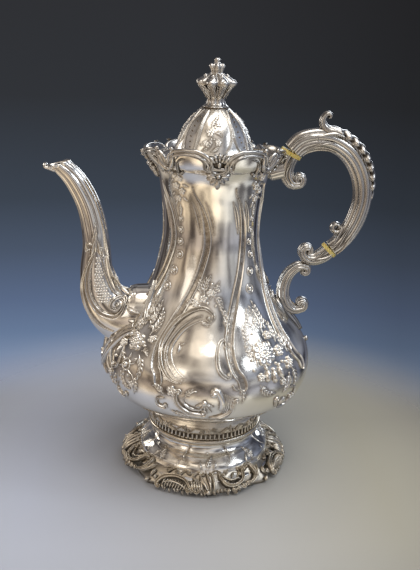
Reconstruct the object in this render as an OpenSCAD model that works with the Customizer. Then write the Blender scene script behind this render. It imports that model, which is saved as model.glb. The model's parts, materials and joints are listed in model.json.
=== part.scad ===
// Silver coffee pot: a pear-shaped raised body on a domed foot, with a swan-neck spout,
// a scroll handle set off by two insulating rings, and a hinged domed lid with a finial.
// +Z is up and the pot's axis is Z. The foot stands on z = 0.
// The spout points along -X, the handle along +X, and the front is -Y.

/* [Body] */
// Height from the table to the tip of the finial
total_h = 280; // [272:1:288]
// Thickness of the raised sheet
wall = 0.8; // [0.8:0.1:1.2]
// Radius of the lid's opening
mouth_r = 24.8; // [24:0.2:25.4]

/* [Strainer] */
// Diameter of each strainer hole
strainer_d = 2.4; // [1.5:0.1:3]
// Rows of strainer holes above and below the middle row
strainer_rows = 2; // [1:1:2]

/* [Rim and foot ornament] */
// Number of scallops around the rim and the foot
scallops = 8; // [4, 8, 12]
// Relief of the cast ornament
relief = 2.2; // [1.5:0.1:3]

/* [Spout] */
// Wall of the spout
spout_wall = 1.2; // [1:0.1:1.6]

/* [Handle] */
// Thickness of the insulating rings
ring_t = 2.4; // [1.8:0.1:3]
// Diameter of the pins through the insulating rings
dowel_d = 1.6; // [1.2:0.1:2]

/* [Lid] */
// Thickness of the lid's sheet
lid_wall = 0.9; // [0.8:0.1:1.2]
// Gap between the lid's flange and its seat
lid_gap = 0.2; // [0.1:0.05:0.4]
// Diameter of the hinge pin
hinge_pin_d = 1.6; // [1.2:0.1:1.8]
// Radial running clearance of the lid's knuckle on the pin
hinge_clear = 0.06; // [0.03:0.01:0.1]

/* [Hidden] */
$fn = 96;

silver = "silver";
ivory = "khaki";

// Heights of the main levels
foot_top_z = 27;
body_base_z = 44;
body_top_z = 218;
body_top_r = 42;
rim_top_z = 229.4;
seat_z = 222;
flange_z = seat_z + lid_gap;
flange_t = 1.2;
dome_z = flange_z + flange_t;
dome_top_z = total_h - 30.4;

// Radii of the main rings
collar_r = 39;
foot_neck_r = 34.8;
border_in_r = 47;
tip_r = 57.6;
flange_r = 26;
bezel_r = mouth_r - 0.8;

// Hinge line of the lid, parallel to Y
hinge_x = 30.4;
hinge_z = seat_z + 1.6;
barrel_r = 2.0;
knuckle_half = 3;
knuckle_gap = 0.2;
barrel_half = 9;

// Strainer behind the spout: middle row's height, height between rows, angle between columns
strainer_z = 104;
strainer_pitch = 5;
strainer_turn = 5.5;

// Points of a smooth curve through the control points, which may have any number of terms
function curve(p, n = 4) = [
    for (i = [0 : len(p) - 2], k = [0 : n - 1]) curve_at(p, i, k / n), p[len(p) - 1]];
function curve_at(p, i, t) =
    let (a = p[max(i - 1, 0)], b = p[i], c = p[i + 1], d = p[min(i + 2, len(p) - 1)])
    0.5 * (2 * b + (c - a) * t + (2 * a - 5 * b + 4 * c - d) * t * t
        + (3 * b - a - 3 * c + d) * t * t * t);

// Unit normal of an outline at point i, pointing right of its direction of travel
function turn(p, i) =
    let (d = p[min(i + 1, len(p) - 1)] - p[max(i - 1, 0)]) [d[1], -d[0]] / norm([d[0], d[1]]);
function offset_line(p, w) = [for (i = [0 : len(p) - 1]) [p[i][0], p[i][1]] + w * turn(p, i)];
function reversed(p) = [for (i = [len(p) - 1 : -1 : 0]) p[i]];

// The same points with their heights kept between z0 and z1
function clamped(p, z0, z1) = [for (q = p) [q[0], min(max(q[1], z0), z1)]];

// Body outline from the base to the top of the neck: radius, height
body_line = curve([
    [37, body_base_z], [46.5, 50], [57, 56], [65.5, 63], [69.6, 72], [70.4, 82], [68, 92],
    [61.5, 102], [53.5, 111], [46.5, 120], [40.5, 130], [36.5, 140], [33.4, 152],
    [31, 166], [31.3, 180], [33, 194], [35.2, 206], [38.4, 213], [body_top_r, body_top_z]], 3);
inner_line = offset_line(body_line, -wall);

// A band that lies on the body between two heights, t thick
function between(p, z0, z1) = [for (q = p) if (q[1] >= z0 && q[1] <= z1) q];
module body_band(z0, z1, t) {
    inside = between(body_line, z0, z1);
    rotate_extrude() polygon(concat(inside, reversed(offset_line(inside, t))));
}

// The body's outside as one closed solid, grown by g
module body_solid(g = 0) {
    line = offset_line(between(body_line, 60, 212), g);
    rotate_extrude() polygon(concat([[0, line[0][1]]], line, [[0, line[len(line) - 1][1]]]));
}

// A solid swept along a path in the XZ plane; each station is [x, z, half depth, half width]
module sweep(stations, sides = 20) {
    n = len(stations);
    rings = [for (i = [0 : n - 1], j = [0 : sides - 1])
        let (s = stations[i], t = turn(stations, i), a = 360 * j / sides)
        [s[0] + t[0] * s[2] * cos(a), s[3] * sin(a), s[1] + t[1] * s[2] * cos(a)]];
    walls = [for (i = [0 : n - 2], j = [0 : sides - 1])
        let (k = (j + 1) % sides)
        each [[i * sides + j, (i + 1) * sides + k, i * sides + k],
              [i * sides + j, (i + 1) * sides + j, (i + 1) * sides + k]]];
    ends = [[for (j = [0 : sides - 1]) j], [for (j = [sides - 1 : -1 : 0]) (n - 1) * sides + j]];
    polyhedron(rings, concat(walls, ends), 10);
}

// A disc whose axis lies in the XZ plane, square to a path's direction (degrees from +X)
module disc(x, z, angle, r, t) {
    translate([x, 0, z]) rotate([0, 90 - angle, 0]) cylinder(r = r, h = t, center = true);
}

// Two pins side by side, along a path's direction
module dowels(x, z, angle, spread, length, d) {
    for (side = [-1, 1]) translate([x, 0, z]) rotate([0, 90 - angle, 0])
        translate([0, side * spread, 0]) cylinder(d = d, h = length, center = true);
}

// ---- Foot ----

// Wire under the foot, on which the pot stands
module foot_ring() {
    color(silver) rotate_extrude()
        polygon([[47.6, 0], [51.2, 0], [51.2, 1.6], [48.6, 3.2], [47.6, 3.2]]);
}

// Cast border of the foot, with a point at each scallop
module foot_border() {
    lobe_r = 6;
    band_r = 54;
    color(silver) intersection() {
        rotate_extrude() polygon([[border_in_r, 8.2], [51.4, 4.4], [52, 0.3], [tip_r + 1, 0.3],
            [tip_r + 1, 2.6], [band_r, 6.8], [border_in_r, 12.2]]);
        union() {
            cylinder(r = band_r, h = 20);
            for (k = [0 : scallops - 1]) rotate(k * 360 / scallops)
                translate([tip_r - lobe_r, 0, 0]) cylinder(r = lobe_r, h = 20);
        }
    }
}

// Domed skirt of the foot, raised from sheet
foot_line = curve([[46.9, 10.4], [44.6, 14.6], [40.6, 18], [36.4, 20.6], [foot_neck_r, 24],
    [foot_neck_r, foot_top_z]], 3);
module foot_dome() {
    inside = clamped(offset_line(foot_line, -wall), 0, foot_top_z);
    color(silver) rotate_extrude() polygon(concat(foot_line, reversed(inside)));
}

// Chased collar between the foot and the body: a bead, a fluted band and a leaf band
collar_line = [[foot_neck_r - 1, foot_top_z], [37.2, foot_top_z], [39.2, 28.6], [collar_r + 1, 31],
    [38.8, 33], [38.8, 36], [40.2, 37.4], [collar_r + 1.4, 40], [39.6, 42.4], [36.8, body_base_z]];
module foot_collar() {
    collar_t = 1.4;
    inside = clamped(offset_line(collar_line, -collar_t), foot_top_z, body_base_z);
    color(silver) rotate_extrude() polygon(concat(collar_line, reversed(inside)));
}

// ---- Body ----

// Raised body, open at the mouth and pierced behind the spout
module body_shell() {
    color(silver) difference() {
        rotate_extrude() polygon(concat([[0, body_base_z]], body_line,
            reversed(between(inner_line, body_base_z + 1.4, body_top_z)),
            [[0, body_base_z + wall]]));
        for (row = [-strainer_rows : strainer_rows], k = [-1 : 1])
            translate([0, 0, strainer_z + row * strainer_pitch])
                rotate([0, -90, k * strainer_turn]) cylinder(d = strainer_d, h = 80);
    }
}

// Dished ring inside the rim, on which the lid rests
module seat_ring() {
    inner_wall = offset_line(between(body_line, 190, body_top_z), -wall - 0.01);
    color(silver) rotate_extrude() intersection() {
        polygon([[mouth_r, 215], [mouth_r + 1.2, 215], [mouth_r + 1.4, 219.8], [33, 217.2],
            [39.2, 215.4], [41, 216], [41, body_top_z], [34, 219], [mouth_r + 3.4, seat_z],
            [mouth_r, seat_z]]);
        polygon(concat([[0, 190]], inner_wall, [[41, seat_z], [0, seat_z]]));
    }
}

// Cast wavy border along the rim, notched at each scallop
module rim_border() {
    notch_r = 8;
    color(silver) difference() {
        rotate_extrude() polygon([[41, body_top_z], [42.2, body_top_z], [45, 221], [46, 226],
            [45.4, rim_top_z], [43.6, rim_top_z], [43.4, 225], [41, 221]]);
        disc(upper_ring[0], upper_ring[1], upper_ring[2], upper_ring_r + 0.3, ring_t + 0.6);
        for (k = [0 : scallops - 1]) rotate(k * 360 / scallops)
            translate([30, 0, rim_top_z]) rotate([0, 90, 0]) cylinder(r = notch_r, h = 30);
    }
}

// Shell that hangs from the rim's notch at an angle around the pot
module rim_shell(angle) {
    petal_r = 2.6;
    fan_r = 7.4;
    color(silver) intersection() {
        body_band(198, body_top_z, relief);
        rotate(angle) translate([30, 0, 213]) rotate([0, 90, 0]) union() {
            cylinder(r = 5.6, h = 30);
            for (k = [-3 : 3]) rotate(k * 27) translate([fan_r + (k == 0 ? 3 : 0), 0, 0])
                cylinder(r = petal_r, h = 30);
        }
    }
}
module rim_shell_front() { rim_shell(-90); }
module rim_shell_back() { rim_shell(90); }
module rim_shell_spout() { rim_shell(180); }
module rim_shell_handle() { rim_shell(0); }

// ---- Spout ----

spout_line = [
    [-40, 106, 25, 19], [-54, 107, 22.5, 17.5], [-65, 112, 17.5, 14], [-73, 123.5, 13.2, 11.5],
    [-76, 140, 10.6, 10], [-76, 156, 8.8, 9], [-77.6, 172, 7.8, 8.2], [-81.8, 187.5, 7.1, 7.4],
    [-89.6, 202, 6.4, 6.6], [-97.4, 209.6, 5.2, 5.6], [-104, 211.8, 3.4, 4.6]];
module spout_outer() { sweep(curve(spout_line, 3), 24); }
module spout_bore() {
    bore = [for (s = spout_line) [s[0], s[1], s[2] - spout_wall, s[3] - spout_wall]];
    sweep(curve(concat([[-30, 106, 24, 18]], bore, [[-110, 214.6, 2.6, 3.4]]), 3), 20);
}

// Swan-neck tube, cast in two halves that are soldered along the middle plane
module spout_half(side) {
    color(silver) difference() {
        spout_outer();
        spout_bore();
        body_solid();
        beak_cut();
        translate([-130, side > 0 ? -40 : 0, 70]) cube([110, 40, 160]);
    }
}
module spout_half_front() { spout_half(-1); }
module spout_half_back() { spout_half(1); }

// Space above the oblique mouth of the beak
module beak_cut() {
    translate([-104, -20, 210.4]) rotate([0, -17, 0]) translate([-20, 0, 0]) cube([60, 40, 30]);
}

// Lip at the tip of the beak
module spout_lip() {
    color(silver) difference() {
        translate([-106.2, 0, 208.6]) rotate([0, 56, 0]) cylinder(r = 4.4, h = 3.4, center = true);
        beak_cut();
        spout_outer();
    }
}

// Cast rocaille around the spout's base
module spout_base_mount() {
    color(silver) difference() {
        intersection() {
            body_band(76, 132, relief);
            translate([-80, 0, 105]) rotate([0, 90, 0]) union() {
                cylinder(r = 24, h = 60);
                translate([16, 0, 0]) cylinder(r = 14, h = 60);
                translate([-12, 0, 0]) cylinder(r = 16, h = 60);
            }
        }
        spout_outer();
    }
}

// Volute on each side of the spout's base
module spout_scroll(side) {
    color(silver) difference() {
        translate([-63, side * 16, 117]) rotate([90, 0, 0]) cylinder(r = 6, h = 7, center = true);
        spout_outer();
        body_solid();
    }
}
module spout_scroll_front() { spout_scroll(-1); }
module spout_scroll_back() { spout_scroll(1); }

// ---- Handle ----

// Insulating rings: x, z and the grip's direction there, in degrees from +X
upper_ring = [50.2, 221.4, 63];
lower_ring = [80.5, 156.4, 225];
upper_ring_r = 7.2;
lower_ring_r = 6.1;
// Half the distance between each ring's two pins
upper_spread = 3;
lower_spread = 2.6;

// Grip between the two rings; each station is [x, z, half depth, half width]
grip_line = [
    [50.9, 222.8, 6.4, 6.2], [56.4, 228.4, 6.9, 6.4], [64, 230.9, 6.9, 6.6], [72, 231, 7, 6.8],
    [80.2, 228.6, 6.9, 6.8], [88.2, 223, 6.8, 6.8], [94.6, 214.6, 6.6, 6.6],
    [98.8, 204, 6.4, 6.4], [99.8, 192, 6, 6.2], [97.4, 180, 6, 6], [92.8, 169.4, 5.8, 5.8],
    [87, 161.8, 5.5, 5.6], [81.4, 157.3, 5.2, 5.4]];
module grip_solid() { sweep(curve(grip_line, 3), 24); }

module handle_grip() {
    color(silver) difference() {
        union() {
            grip_solid();
            translate([82.4, 0, 168.2]) rotate([90, 0, 0]) cylinder(r = 4, h = 6, center = true);
        }
        disc(upper_ring[0], upper_ring[1], upper_ring[2], upper_ring_r + 2, ring_t);
        disc(lower_ring[0], lower_ring[1], lower_ring[2], lower_ring_r + 2, ring_t);
        dowels(upper_ring[0], upper_ring[1], upper_ring[2], upper_spread, 10, dowel_d);
        dowels(lower_ring[0], lower_ring[1], lower_ring[2], lower_spread, 9, dowel_d);
        beyond_rings();
    }
}

// Space past the rings, where the sockets are
module beyond_rings() {
    translate([upper_ring[0], 0, upper_ring[1]]) rotate([0, 90 - upper_ring[2], 0])
        translate([-12, -12, -12]) cube([24, 24, 12]);
    translate([lower_ring[0], 0, lower_ring[1]]) rotate([0, 90 - lower_ring[2], 0])
        translate([-9, -9, 0]) cube([18, 18, 9]);
}

// Acanthus leaf along the grip's back, ending in the thumb-piece
leaf_line = [
    [66, 238.4, 1.6, 4.4], [74, 238.8, 2, 5.4], [84, 235.6, 2.4, 6.2], [93.4, 229, 2.4, 6.4],
    [100.4, 219.6, 2.4, 6.2], [104.6, 209, 2, 5.4], [106, 198, 1.2, 3.6], [105.6, 192, 0.6, 2]];
thumb_line = [
    [70.5, 236.8, 2.4, 4.4], [69.3, 241, 2, 3.8], [69.8, 245.2, 1.7, 3.4], [73.2, 247.8, 1.3, 2.8]];
module handle_leaf() {
    color(silver) difference() {
        union() {
            sweep(curve(leaf_line, 3), 16);
            sweep(curve(thumb_line, 3), 16);
        }
        grip_solid();
    }
}

// Insulating rings, drilled for their pins
module insulator(ring, r, spread) {
    color(ivory) difference() {
        disc(ring[0], ring[1], ring[2], r, ring_t);
        dowels(ring[0], ring[1], ring[2], spread, ring_t * 3, dowel_d);
    }
}
module insulator_upper() { insulator(upper_ring, upper_ring_r, upper_spread); }
module insulator_lower() { insulator(lower_ring, lower_ring_r, lower_spread); }
module dowels_upper() {
    color(silver) dowels(upper_ring[0], upper_ring[1], upper_ring[2], upper_spread, 9.6, dowel_d);
}
module dowels_lower() {
    color(silver) dowels(lower_ring[0], lower_ring[1], lower_ring[2], lower_spread, 8.6, dowel_d);
}

// Scrolled socket under the upper ring
socket_line = [
    [50.2, 221.4, 6.2, 6], [48.6, 216, 5.2, 5.6], [48.4, 209.6, 4.4, 5], [50.2, 203.6, 4, 4.8],
    [54, 200.9, 3.2, 4.6], [57.6, 202.6, 2.8, 4.2], [58, 206.4, 2, 3.6]];
module handle_upper_socket() {
    color(silver) difference() {
        sweep(curve(socket_line, 3), 20);
        translate([upper_ring[0], 0, upper_ring[1]]) rotate([0, 90 - upper_ring[2], 0])
            translate([-12, -12, -ring_t / 2]) cube([24, 24, 12]);
        dowels(upper_ring[0], upper_ring[1], upper_ring[2], upper_spread, 10, dowel_d);
        rotate_extrude() polygon([[0, 216], [46, 216], [46, 230], [0, 230]]);
    }
}

// Bridge that joins the socket to the shell on the neck
module handle_rim_bridge() {
    color(silver) difference() {
        intersection() {
            translate([34, -4.6, 203]) cube([20, 9.2, 14.4]);
            rotate_extrude() polygon([[30, 200], [48, 203], [48.6, 212], [45.4, 217], [30, 217]]);
        }
        rotate_extrude() polygon(concat([[0, 196]],
            offset_line(between(body_line, 196, body_top_z), relief),
            [[body_top_r, body_top_z], [body_top_r, body_top_z + 1], [0, body_top_z + 1]]));
        sweep(curve(socket_line, 3), 20);
    }
}

// Scrolled socket under the lower ring
lower_line = [
    [81.4, 157.3, 5.2, 5.4], [76.6, 153, 5.2, 5.2], [71, 150.4, 4.2, 4.8], [65.6, 150.6, 3.6, 4.6],
    [63, 154, 3, 4.2], [65, 157.4, 2.2, 3.8]];
module handle_lower_socket() {
    color(silver) difference() {
        sweep(curve(lower_line, 3), 20);
        translate([lower_ring[0], 0, lower_ring[1]]) rotate([0, 90 - lower_ring[2], 0])
            translate([-9, -9, -9]) cube([18, 18, 9 + ring_t / 2]);
        dowels(lower_ring[0], lower_ring[1], lower_ring[2], lower_spread, 9, dowel_d);
    }
}

// C-scroll that carries the handle's lower end on the body
bracket_line = [
    [68.4, 141.8, 1.8, 3.6], [66, 144.8, 2.4, 4], [60.6, 144.6, 3.2, 4.4], [54.6, 140, 3.8, 4.8],
    [51.2, 132.6, 4.2, 5], [51.2, 124, 4.4, 5], [54.4, 116.6, 4.2, 5], [60, 113.4, 3.4, 4.8],
    [65, 114.6, 2.6, 4.4], [66.4, 118, 1.8, 3.8]];
module handle_bracket() {
    color(silver) difference() {
        union() {
            sweep(curve(bracket_line, 3), 20);
            intersection() {
                body_band(90, 118, relief);
                translate([40, 0, 105]) rotate([0, 90, 0]) union() {
                    cylinder(r = 7, h = 40);
                    translate([7, 0, 0]) cylinder(r = 4, h = 40);
                }
            }
        }
        body_solid();
        sweep(curve(lower_line, 3), 20);
    }
}

// ---- Lid hinge ----

module barrel(y0, y1, r) {
    translate([hinge_x, y1, hinge_z]) rotate([90, 0, 0]) cylinder(r = r, h = y1 - y0);
}
module hinge_leaf_body() {
    color(silver) difference() {
        for (side = [-1, 1]) {
            inner = side * (knuckle_half + knuckle_gap);
            outer = side * barrel_half;
            union() {
                barrel(min(inner, outer), max(inner, outer), barrel_r);
                translate([hinge_x, min(inner, outer), hinge_z - 5])
                    cube([3.4, abs(outer - inner), 5]);
            }
        }
        barrel(-20, 20, hinge_pin_d / 2);
        seat_ring();
    }
}
module hinge_pin() {
    color(silver) barrel(-barrel_half - 0.5, barrel_half + 0.5, hinge_pin_d / 2);
}
module hinge_leaf_lid() {
    color(silver) difference() {
        union() {
            barrel(-knuckle_half, knuckle_half, barrel_r);
            translate([flange_r - 2, -knuckle_half, dome_z])
                cube([hinge_x - flange_r + 2, 2 * knuckle_half, 1]);
        }
        barrel(-20, 20, hinge_pin_d / 2 + hinge_clear);
        translate([0, 0, flange_z]) cylinder(r = flange_r, h = flange_t);
        rotate_extrude() polygon(concat(lid_line, [[0, dome_top_z], [0, dome_z]]));
    }
}

// ---- Lid ----

// Flat ring from in_r to out_r, its underside at z, t thick
module flat_ring(in_r, out_r, z, t) {
    translate([0, 0, z]) rotate_extrude() translate([in_r, 0]) square([out_r - in_r, t]);
}
bezel_t = 1;
bezel_h = 4;
module lid_flange() {
    color(silver) flat_ring(bezel_r - bezel_t, flange_r, flange_z, flange_t);
}
module lid_bezel() {
    color(silver) flat_ring(bezel_r - bezel_t, bezel_r, flange_z - bezel_h, bezel_h);
}

// Bell-shaped dome, closed at the top but for the stud's hole
dome_h = dome_top_z - dome_z;
lid_line = curve([[25.4, dome_z], [23.9, dome_z + 0.115 * dome_h], [22.4, dome_z + 0.267 * dome_h],
    [20.4, dome_z + 0.458 * dome_h], [17.4, dome_z + 0.649 * dome_h],
    [13.6, dome_z + 0.817 * dome_h], [8.3, dome_top_z]], 4);
stud_d = 3;
module lid_dome() {
    inside = between(offset_line(lid_line, -lid_wall), dome_z, dome_top_z - lid_wall - 0.6);
    color(silver) rotate_extrude() polygon(concat(lid_line, [[stud_d / 2, dome_top_z],
        [stud_d / 2, dome_top_z - lid_wall], [9.6, dome_top_z - lid_wall]], reversed(inside),
        [[24.4, dome_z]]));
}

// ---- Finial ----

module finial_base() {
    color(silver) rotate_extrude() polygon([[stud_d / 2, dome_top_z], [7.2, dome_top_z],
        [7.2, dome_top_z + 0.9], [stud_d / 2, dome_top_z + 0.9]]);
}
cup_z = dome_top_z + 0.9;
cup_line = curve([[6.8, cup_z], [5.8, cup_z + 3], [6.8, cup_z + 6.4], [9.4, cup_z + 10],
    [12.4, cup_z + 13], [12.2, cup_z + 15.6], [8.4, cup_z + 17.6], [4.4, cup_z + 19.6]], 3);
module finial_cup() {
    lobes = 8;
    color(silver) difference() {
        union() {
            rotate_extrude() polygon(concat([[0, cup_z]], cup_line, [[0, cup_z + 19.6]]));
            for (k = [0 : lobes - 1]) rotate((k + 0.5) * 360 / lobes)
                translate([11, 0, cup_z + 14.2]) sphere(r = 2.8);
        }
        translate([0, 0, cup_z - 1]) cylinder(d = stud_d, h = 8);
    }
}
crown_z = cup_z + 19.6;
module finial_crown() {
    buds = 6;
    color(silver) union() {
        rotate_extrude() polygon(concat(curve([[4.2, crown_z], [3.6, crown_z + 2.4],
            [4.4, crown_z + 4.4], [2.6, crown_z + 6.4], [0, total_h]], 3), [[0, crown_z]]));
        for (k = [0 : buds - 1]) rotate(k * 360 / buds)
            translate([3.9, 0, crown_z + 4.8]) sphere(r = 1.2);
    }
}
module finial_stud() {
    color(silver) translate([0, 0, dome_top_z - 4.6]) cylinder(d = stud_d, h = 4.6 + 0.9 + 6.6);
}
module finial_nut() {
    color(silver) difference() {
        translate([0, 0, dome_top_z - lid_wall - 2.4]) cylinder(r = 3.6, h = 2.4, $fn = 6);
        translate([0, 0, dome_top_z - 6]) cylinder(d = stud_d, h = 8);
    }
}

foot_ring();
foot_border();
foot_dome();
foot_collar();
body_shell();
seat_ring();
rim_border();
rim_shell_front();
rim_shell_back();
rim_shell_spout();
rim_shell_handle();
spout_half_front();
spout_half_back();
spout_base_mount();
spout_lip();
spout_scroll_front();
spout_scroll_back();
handle_rim_bridge();
handle_upper_socket();
insulator_upper();
dowels_upper();
handle_grip();
handle_leaf();
insulator_lower();
dowels_lower();
handle_lower_socket();
handle_bracket();
hinge_leaf_body();
hinge_pin();
lid_flange();
lid_bezel();
lid_dome();
hinge_leaf_lid();
finial_base();
finial_cup();
finial_crown();
finial_stud();
finial_nut();
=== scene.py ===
# %% [markdown]
# # A silver coffee pot, piece by piece
#
# The pot is raised from sheet silver, chased from both sides, and dressed with cast scrolls.
# Its working frame (walls, hinge, spout, handle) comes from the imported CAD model, and this
# lesson adds the silversmith's work: swirling ribs, flowers, scrolls, mouldings and the metal
# itself. Lengths are written in millimetres and turned into metres when a mesh is made.

# %% Load the frame
import json
import math
import bmesh
import bpy
import numpy as np
from mathutils import Matrix, Vector
from mathutils.kdtree import KDTree

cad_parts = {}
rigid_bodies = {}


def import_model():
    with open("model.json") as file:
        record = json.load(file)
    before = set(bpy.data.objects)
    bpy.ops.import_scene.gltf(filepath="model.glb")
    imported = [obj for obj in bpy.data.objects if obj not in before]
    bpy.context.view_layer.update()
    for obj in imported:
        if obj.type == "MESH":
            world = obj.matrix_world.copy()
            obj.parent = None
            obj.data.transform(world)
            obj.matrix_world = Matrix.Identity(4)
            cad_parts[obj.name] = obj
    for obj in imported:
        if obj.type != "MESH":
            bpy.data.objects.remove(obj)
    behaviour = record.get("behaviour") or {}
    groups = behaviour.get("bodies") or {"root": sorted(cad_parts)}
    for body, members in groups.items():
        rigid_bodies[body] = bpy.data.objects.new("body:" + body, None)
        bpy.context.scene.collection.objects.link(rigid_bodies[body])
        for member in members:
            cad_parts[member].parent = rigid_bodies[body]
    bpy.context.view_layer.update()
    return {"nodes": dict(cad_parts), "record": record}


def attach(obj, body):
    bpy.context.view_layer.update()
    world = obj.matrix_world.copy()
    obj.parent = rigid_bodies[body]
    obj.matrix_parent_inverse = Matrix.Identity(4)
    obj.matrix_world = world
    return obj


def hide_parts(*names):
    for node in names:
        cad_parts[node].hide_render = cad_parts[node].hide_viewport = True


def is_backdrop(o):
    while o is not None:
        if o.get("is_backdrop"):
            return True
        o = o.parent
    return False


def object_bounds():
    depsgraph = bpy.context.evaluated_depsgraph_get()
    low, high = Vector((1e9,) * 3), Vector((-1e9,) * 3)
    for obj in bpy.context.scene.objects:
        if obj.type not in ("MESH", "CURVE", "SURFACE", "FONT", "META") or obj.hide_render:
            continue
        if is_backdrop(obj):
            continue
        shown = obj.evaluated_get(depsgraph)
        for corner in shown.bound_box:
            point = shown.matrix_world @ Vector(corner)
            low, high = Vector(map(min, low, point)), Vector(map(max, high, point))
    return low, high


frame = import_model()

MM = 0.001

# %% [markdown]
# ## Curves
#
# Almost every line on the pot is a smooth curve through a few chosen points. A Catmull-Rom
# spline passes through its points, so it is easy to draw with. The CAD source uses the same
# rule, so an outline repeated here lies exactly on the CAD wall.

# %% Smooth lines
def smooth_line(points, steps=8):
    p = np.asarray(points, float)
    before = p[[max(i - 1, 0) for i in range(len(p) - 1)]]
    after = p[[min(i + 2, len(p) - 1) for i in range(len(p) - 1)]]
    a, b, c, d = before[:, None], p[:-1, None], p[1:, None], after[:, None]
    t = (np.arange(steps) / steps)[None, :, None]
    line = 0.5 * (2 * b + (c - a) * t + (2 * a - 5 * b + 4 * c - d) * t ** 2
                  + (3 * b - a - 3 * c + d) * t ** 3)
    return np.vstack([line.reshape(-1, p.shape[1]), p[-1:]])


def along(line):
    """Distance along a line at each of its points."""
    return np.concatenate([[0], np.cumsum(np.linalg.norm(np.diff(line, axis=0), axis=1))])


def evenly(line, count):
    """count points spaced evenly along a line."""
    s = along(line)
    at = np.linspace(0, s[-1], count)
    return np.stack([np.interp(at, s, line[:, k]) for k in range(line.shape[1])], 1)


def smoothstep(x, low, high):
    t = np.clip((x - low) / (high - low), 0, 1)
    return t * t * (3 - 2 * t)


# %% [markdown]
# ## Surfaces to draw on
#
# Ornament is drawn flat and then wrapped on the metal. A `Turned` surface is an outline spun
# about the pot's axis; a `Pipe` is an oval tube along a bent centreline, for the spout and the
# handle. Both answer the same question: given a distance around and a distance along, where is
# the surface and which way does it face?

# %% Turned surfaces and pipes
class Turned:
    def __init__(self, outline, steps=6):
        self.line = smooth_line(outline, steps)
        self.s = along(self.line)
        slope = np.gradient(self.line, self.s, axis=0)
        slope /= np.linalg.norm(slope, axis=1)[:, None]
        self.slope = slope

    def s_at(self, z):
        return np.interp(z, self.line[:, 1], self.s)

    def radius(self, s):
        return np.interp(s, self.s, self.line[:, 0])

    def place(self, degrees, s, out=0.0):
        """Points at an angle from the front towards the handle, s mm along the outline."""
        a = np.radians(degrees)
        r, z = self.radius(s), np.interp(s, self.s, self.line[:, 1])
        dr, dz = (np.interp(s, self.s, self.slope[:, k]) for k in (0, 1))
        n = np.stack([dz * np.sin(a), -dz * np.cos(a), -dr + 0 * a], -1)
        p = np.stack([r * np.sin(a), -r * np.cos(a), z + 0 * a], -1)
        return p + n * np.asarray(out)[..., None], n

    def wrap(self, degrees, z):
        """A flat drawing plane: x mm around and y mm up from a point."""
        s0 = self.s_at(z)

        def to_surface(x, y, out=0.0):
            s = s0 + y
            return self.place(degrees + np.degrees(x / np.maximum(self.radius(s), 4.0)), s, out)
        return to_surface

    def flat(self, points, degrees, z):
        """(degrees, height) points as (x, y) points on the plane that wrap() folds back."""
        p = np.asarray(points, float)
        s = self.s_at(p[:, 1])
        return np.stack([np.radians(p[:, 0] - degrees) * np.maximum(self.radius(s), 4.0),
            s - self.s_at(z)], 1)


class Pipe:
    """stations: x, z, half depth, half width. 0 degrees is the right of its travel, -90 the front."""
    def __init__(self, stations, steps=8):
        self.count = len(stations)
        self.line = smooth_line(stations, steps)
        path = self.line[:, :2]
        self.s = along(path)
        self.at_station = self.s[::steps]
        t = np.gradient(path, self.s, axis=0)
        t /= np.linalg.norm(t, axis=1)[:, None]
        self.side = np.stack([t[:, 1], -t[:, 0]], 1)

    def station(self, v):
        return np.interp(v, np.arange(self.count), self.at_station)

    def reach(self, s):
        return np.maximum(0.5 * (np.interp(s, self.s, self.line[:, 2]) + np.interp(s, self.s,
            self.line[:, 3])), 1)

    def place(self, degrees, s, out=0.0):
        a = np.radians(degrees)
        x, z, depth, width = (np.interp(s, self.s, self.line[:, k]) for k in range(4))
        nx, nz = (np.interp(s, self.s, self.side[:, k]) for k in (0, 1))
        p = np.stack([x + nx * depth * np.cos(a), width * np.sin(a), z + nz * depth * np.cos(a)], -1)
        n = np.stack([nx * np.cos(a) / depth, np.sin(a) / width, nz * np.cos(a) / depth], -1)
        n /= np.linalg.norm(n, axis=-1)[..., None]
        return p + n * np.asarray(out)[..., None], n

    def wrap(self, degrees, v):
        s0 = self.station(v)

        def to_surface(x, y, out=0.0):
            s = s0 + y
            return self.place(degrees + np.degrees(x / self.reach(s)), s, out)
        return to_surface

    def seen(self, points):
        """(x, z) points of a side view as (degrees, station) on the face towards the front."""
        S, A = np.meshgrid(np.linspace(0, self.s[-1], 400), np.linspace(-178, -2, 120), indexing="ij")
        grid, _ = self.place(A, S)
        found = []
        for x, z in points:
            k = np.argmin((grid[..., 0] - x) ** 2 + (grid[..., 2] - z) ** 2)
            found.append((A.flat[k], np.interp(S.flat[k], self.at_station, np.arange(self.count))))
        return np.array(found)

    def flat(self, points, degrees, v):
        p = np.asarray(points, float)
        s = self.station(p[:, 1])
        return np.stack([np.radians(p[:, 0] - degrees) * self.reach(s), s - self.station(v)], 1)


# %% [markdown]
# ## Modelling in relief
#
# A silversmith's relief is made of a few gestures: a stroke that swells and tapers, a curl at
# its end, a round flower, and a smooth skin pushed out from behind. `Clay` collects such forms
# into one mesh. Each vertex also keeps a `depth`, 0 on the polished crests and 1 in the
# recesses, which the silver material later uses for its tarnish; where a form is forced to full
# depth, the same darkening is painted shade.

# %% The relief collector
def profile_round(u):
    return np.sqrt(np.clip(1 - u * u, 0, 1))


def profile_moulding(u):
    """Two beads with a hollow between them."""
    return profile_round(u) * (0.62 + 0.38 * np.cos(2 * np.pi * (np.abs(u) - 0.55)))


def profile_leaf(u):
    """Raised edges and a sharp midrib."""
    return profile_round(u) * (0.55 + 0.45 * np.cos(2 * np.pi * u))


def grid_faces(n, m, closed):
    """Quads between n rings of m points; closed also joins the last ring to the first."""
    i, j = np.meshgrid(np.arange(n if closed else n - 1), np.arange(m), indexing="ij")
    i_next, j_next = (i + 1) % n, (j + 1) % m
    corners = [i * m + j, i * m + j_next, i_next * m + j_next, i_next * m + j]
    return np.stack(corners, -1).reshape(-1, 4).tolist()


SINK = -0.35


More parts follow.
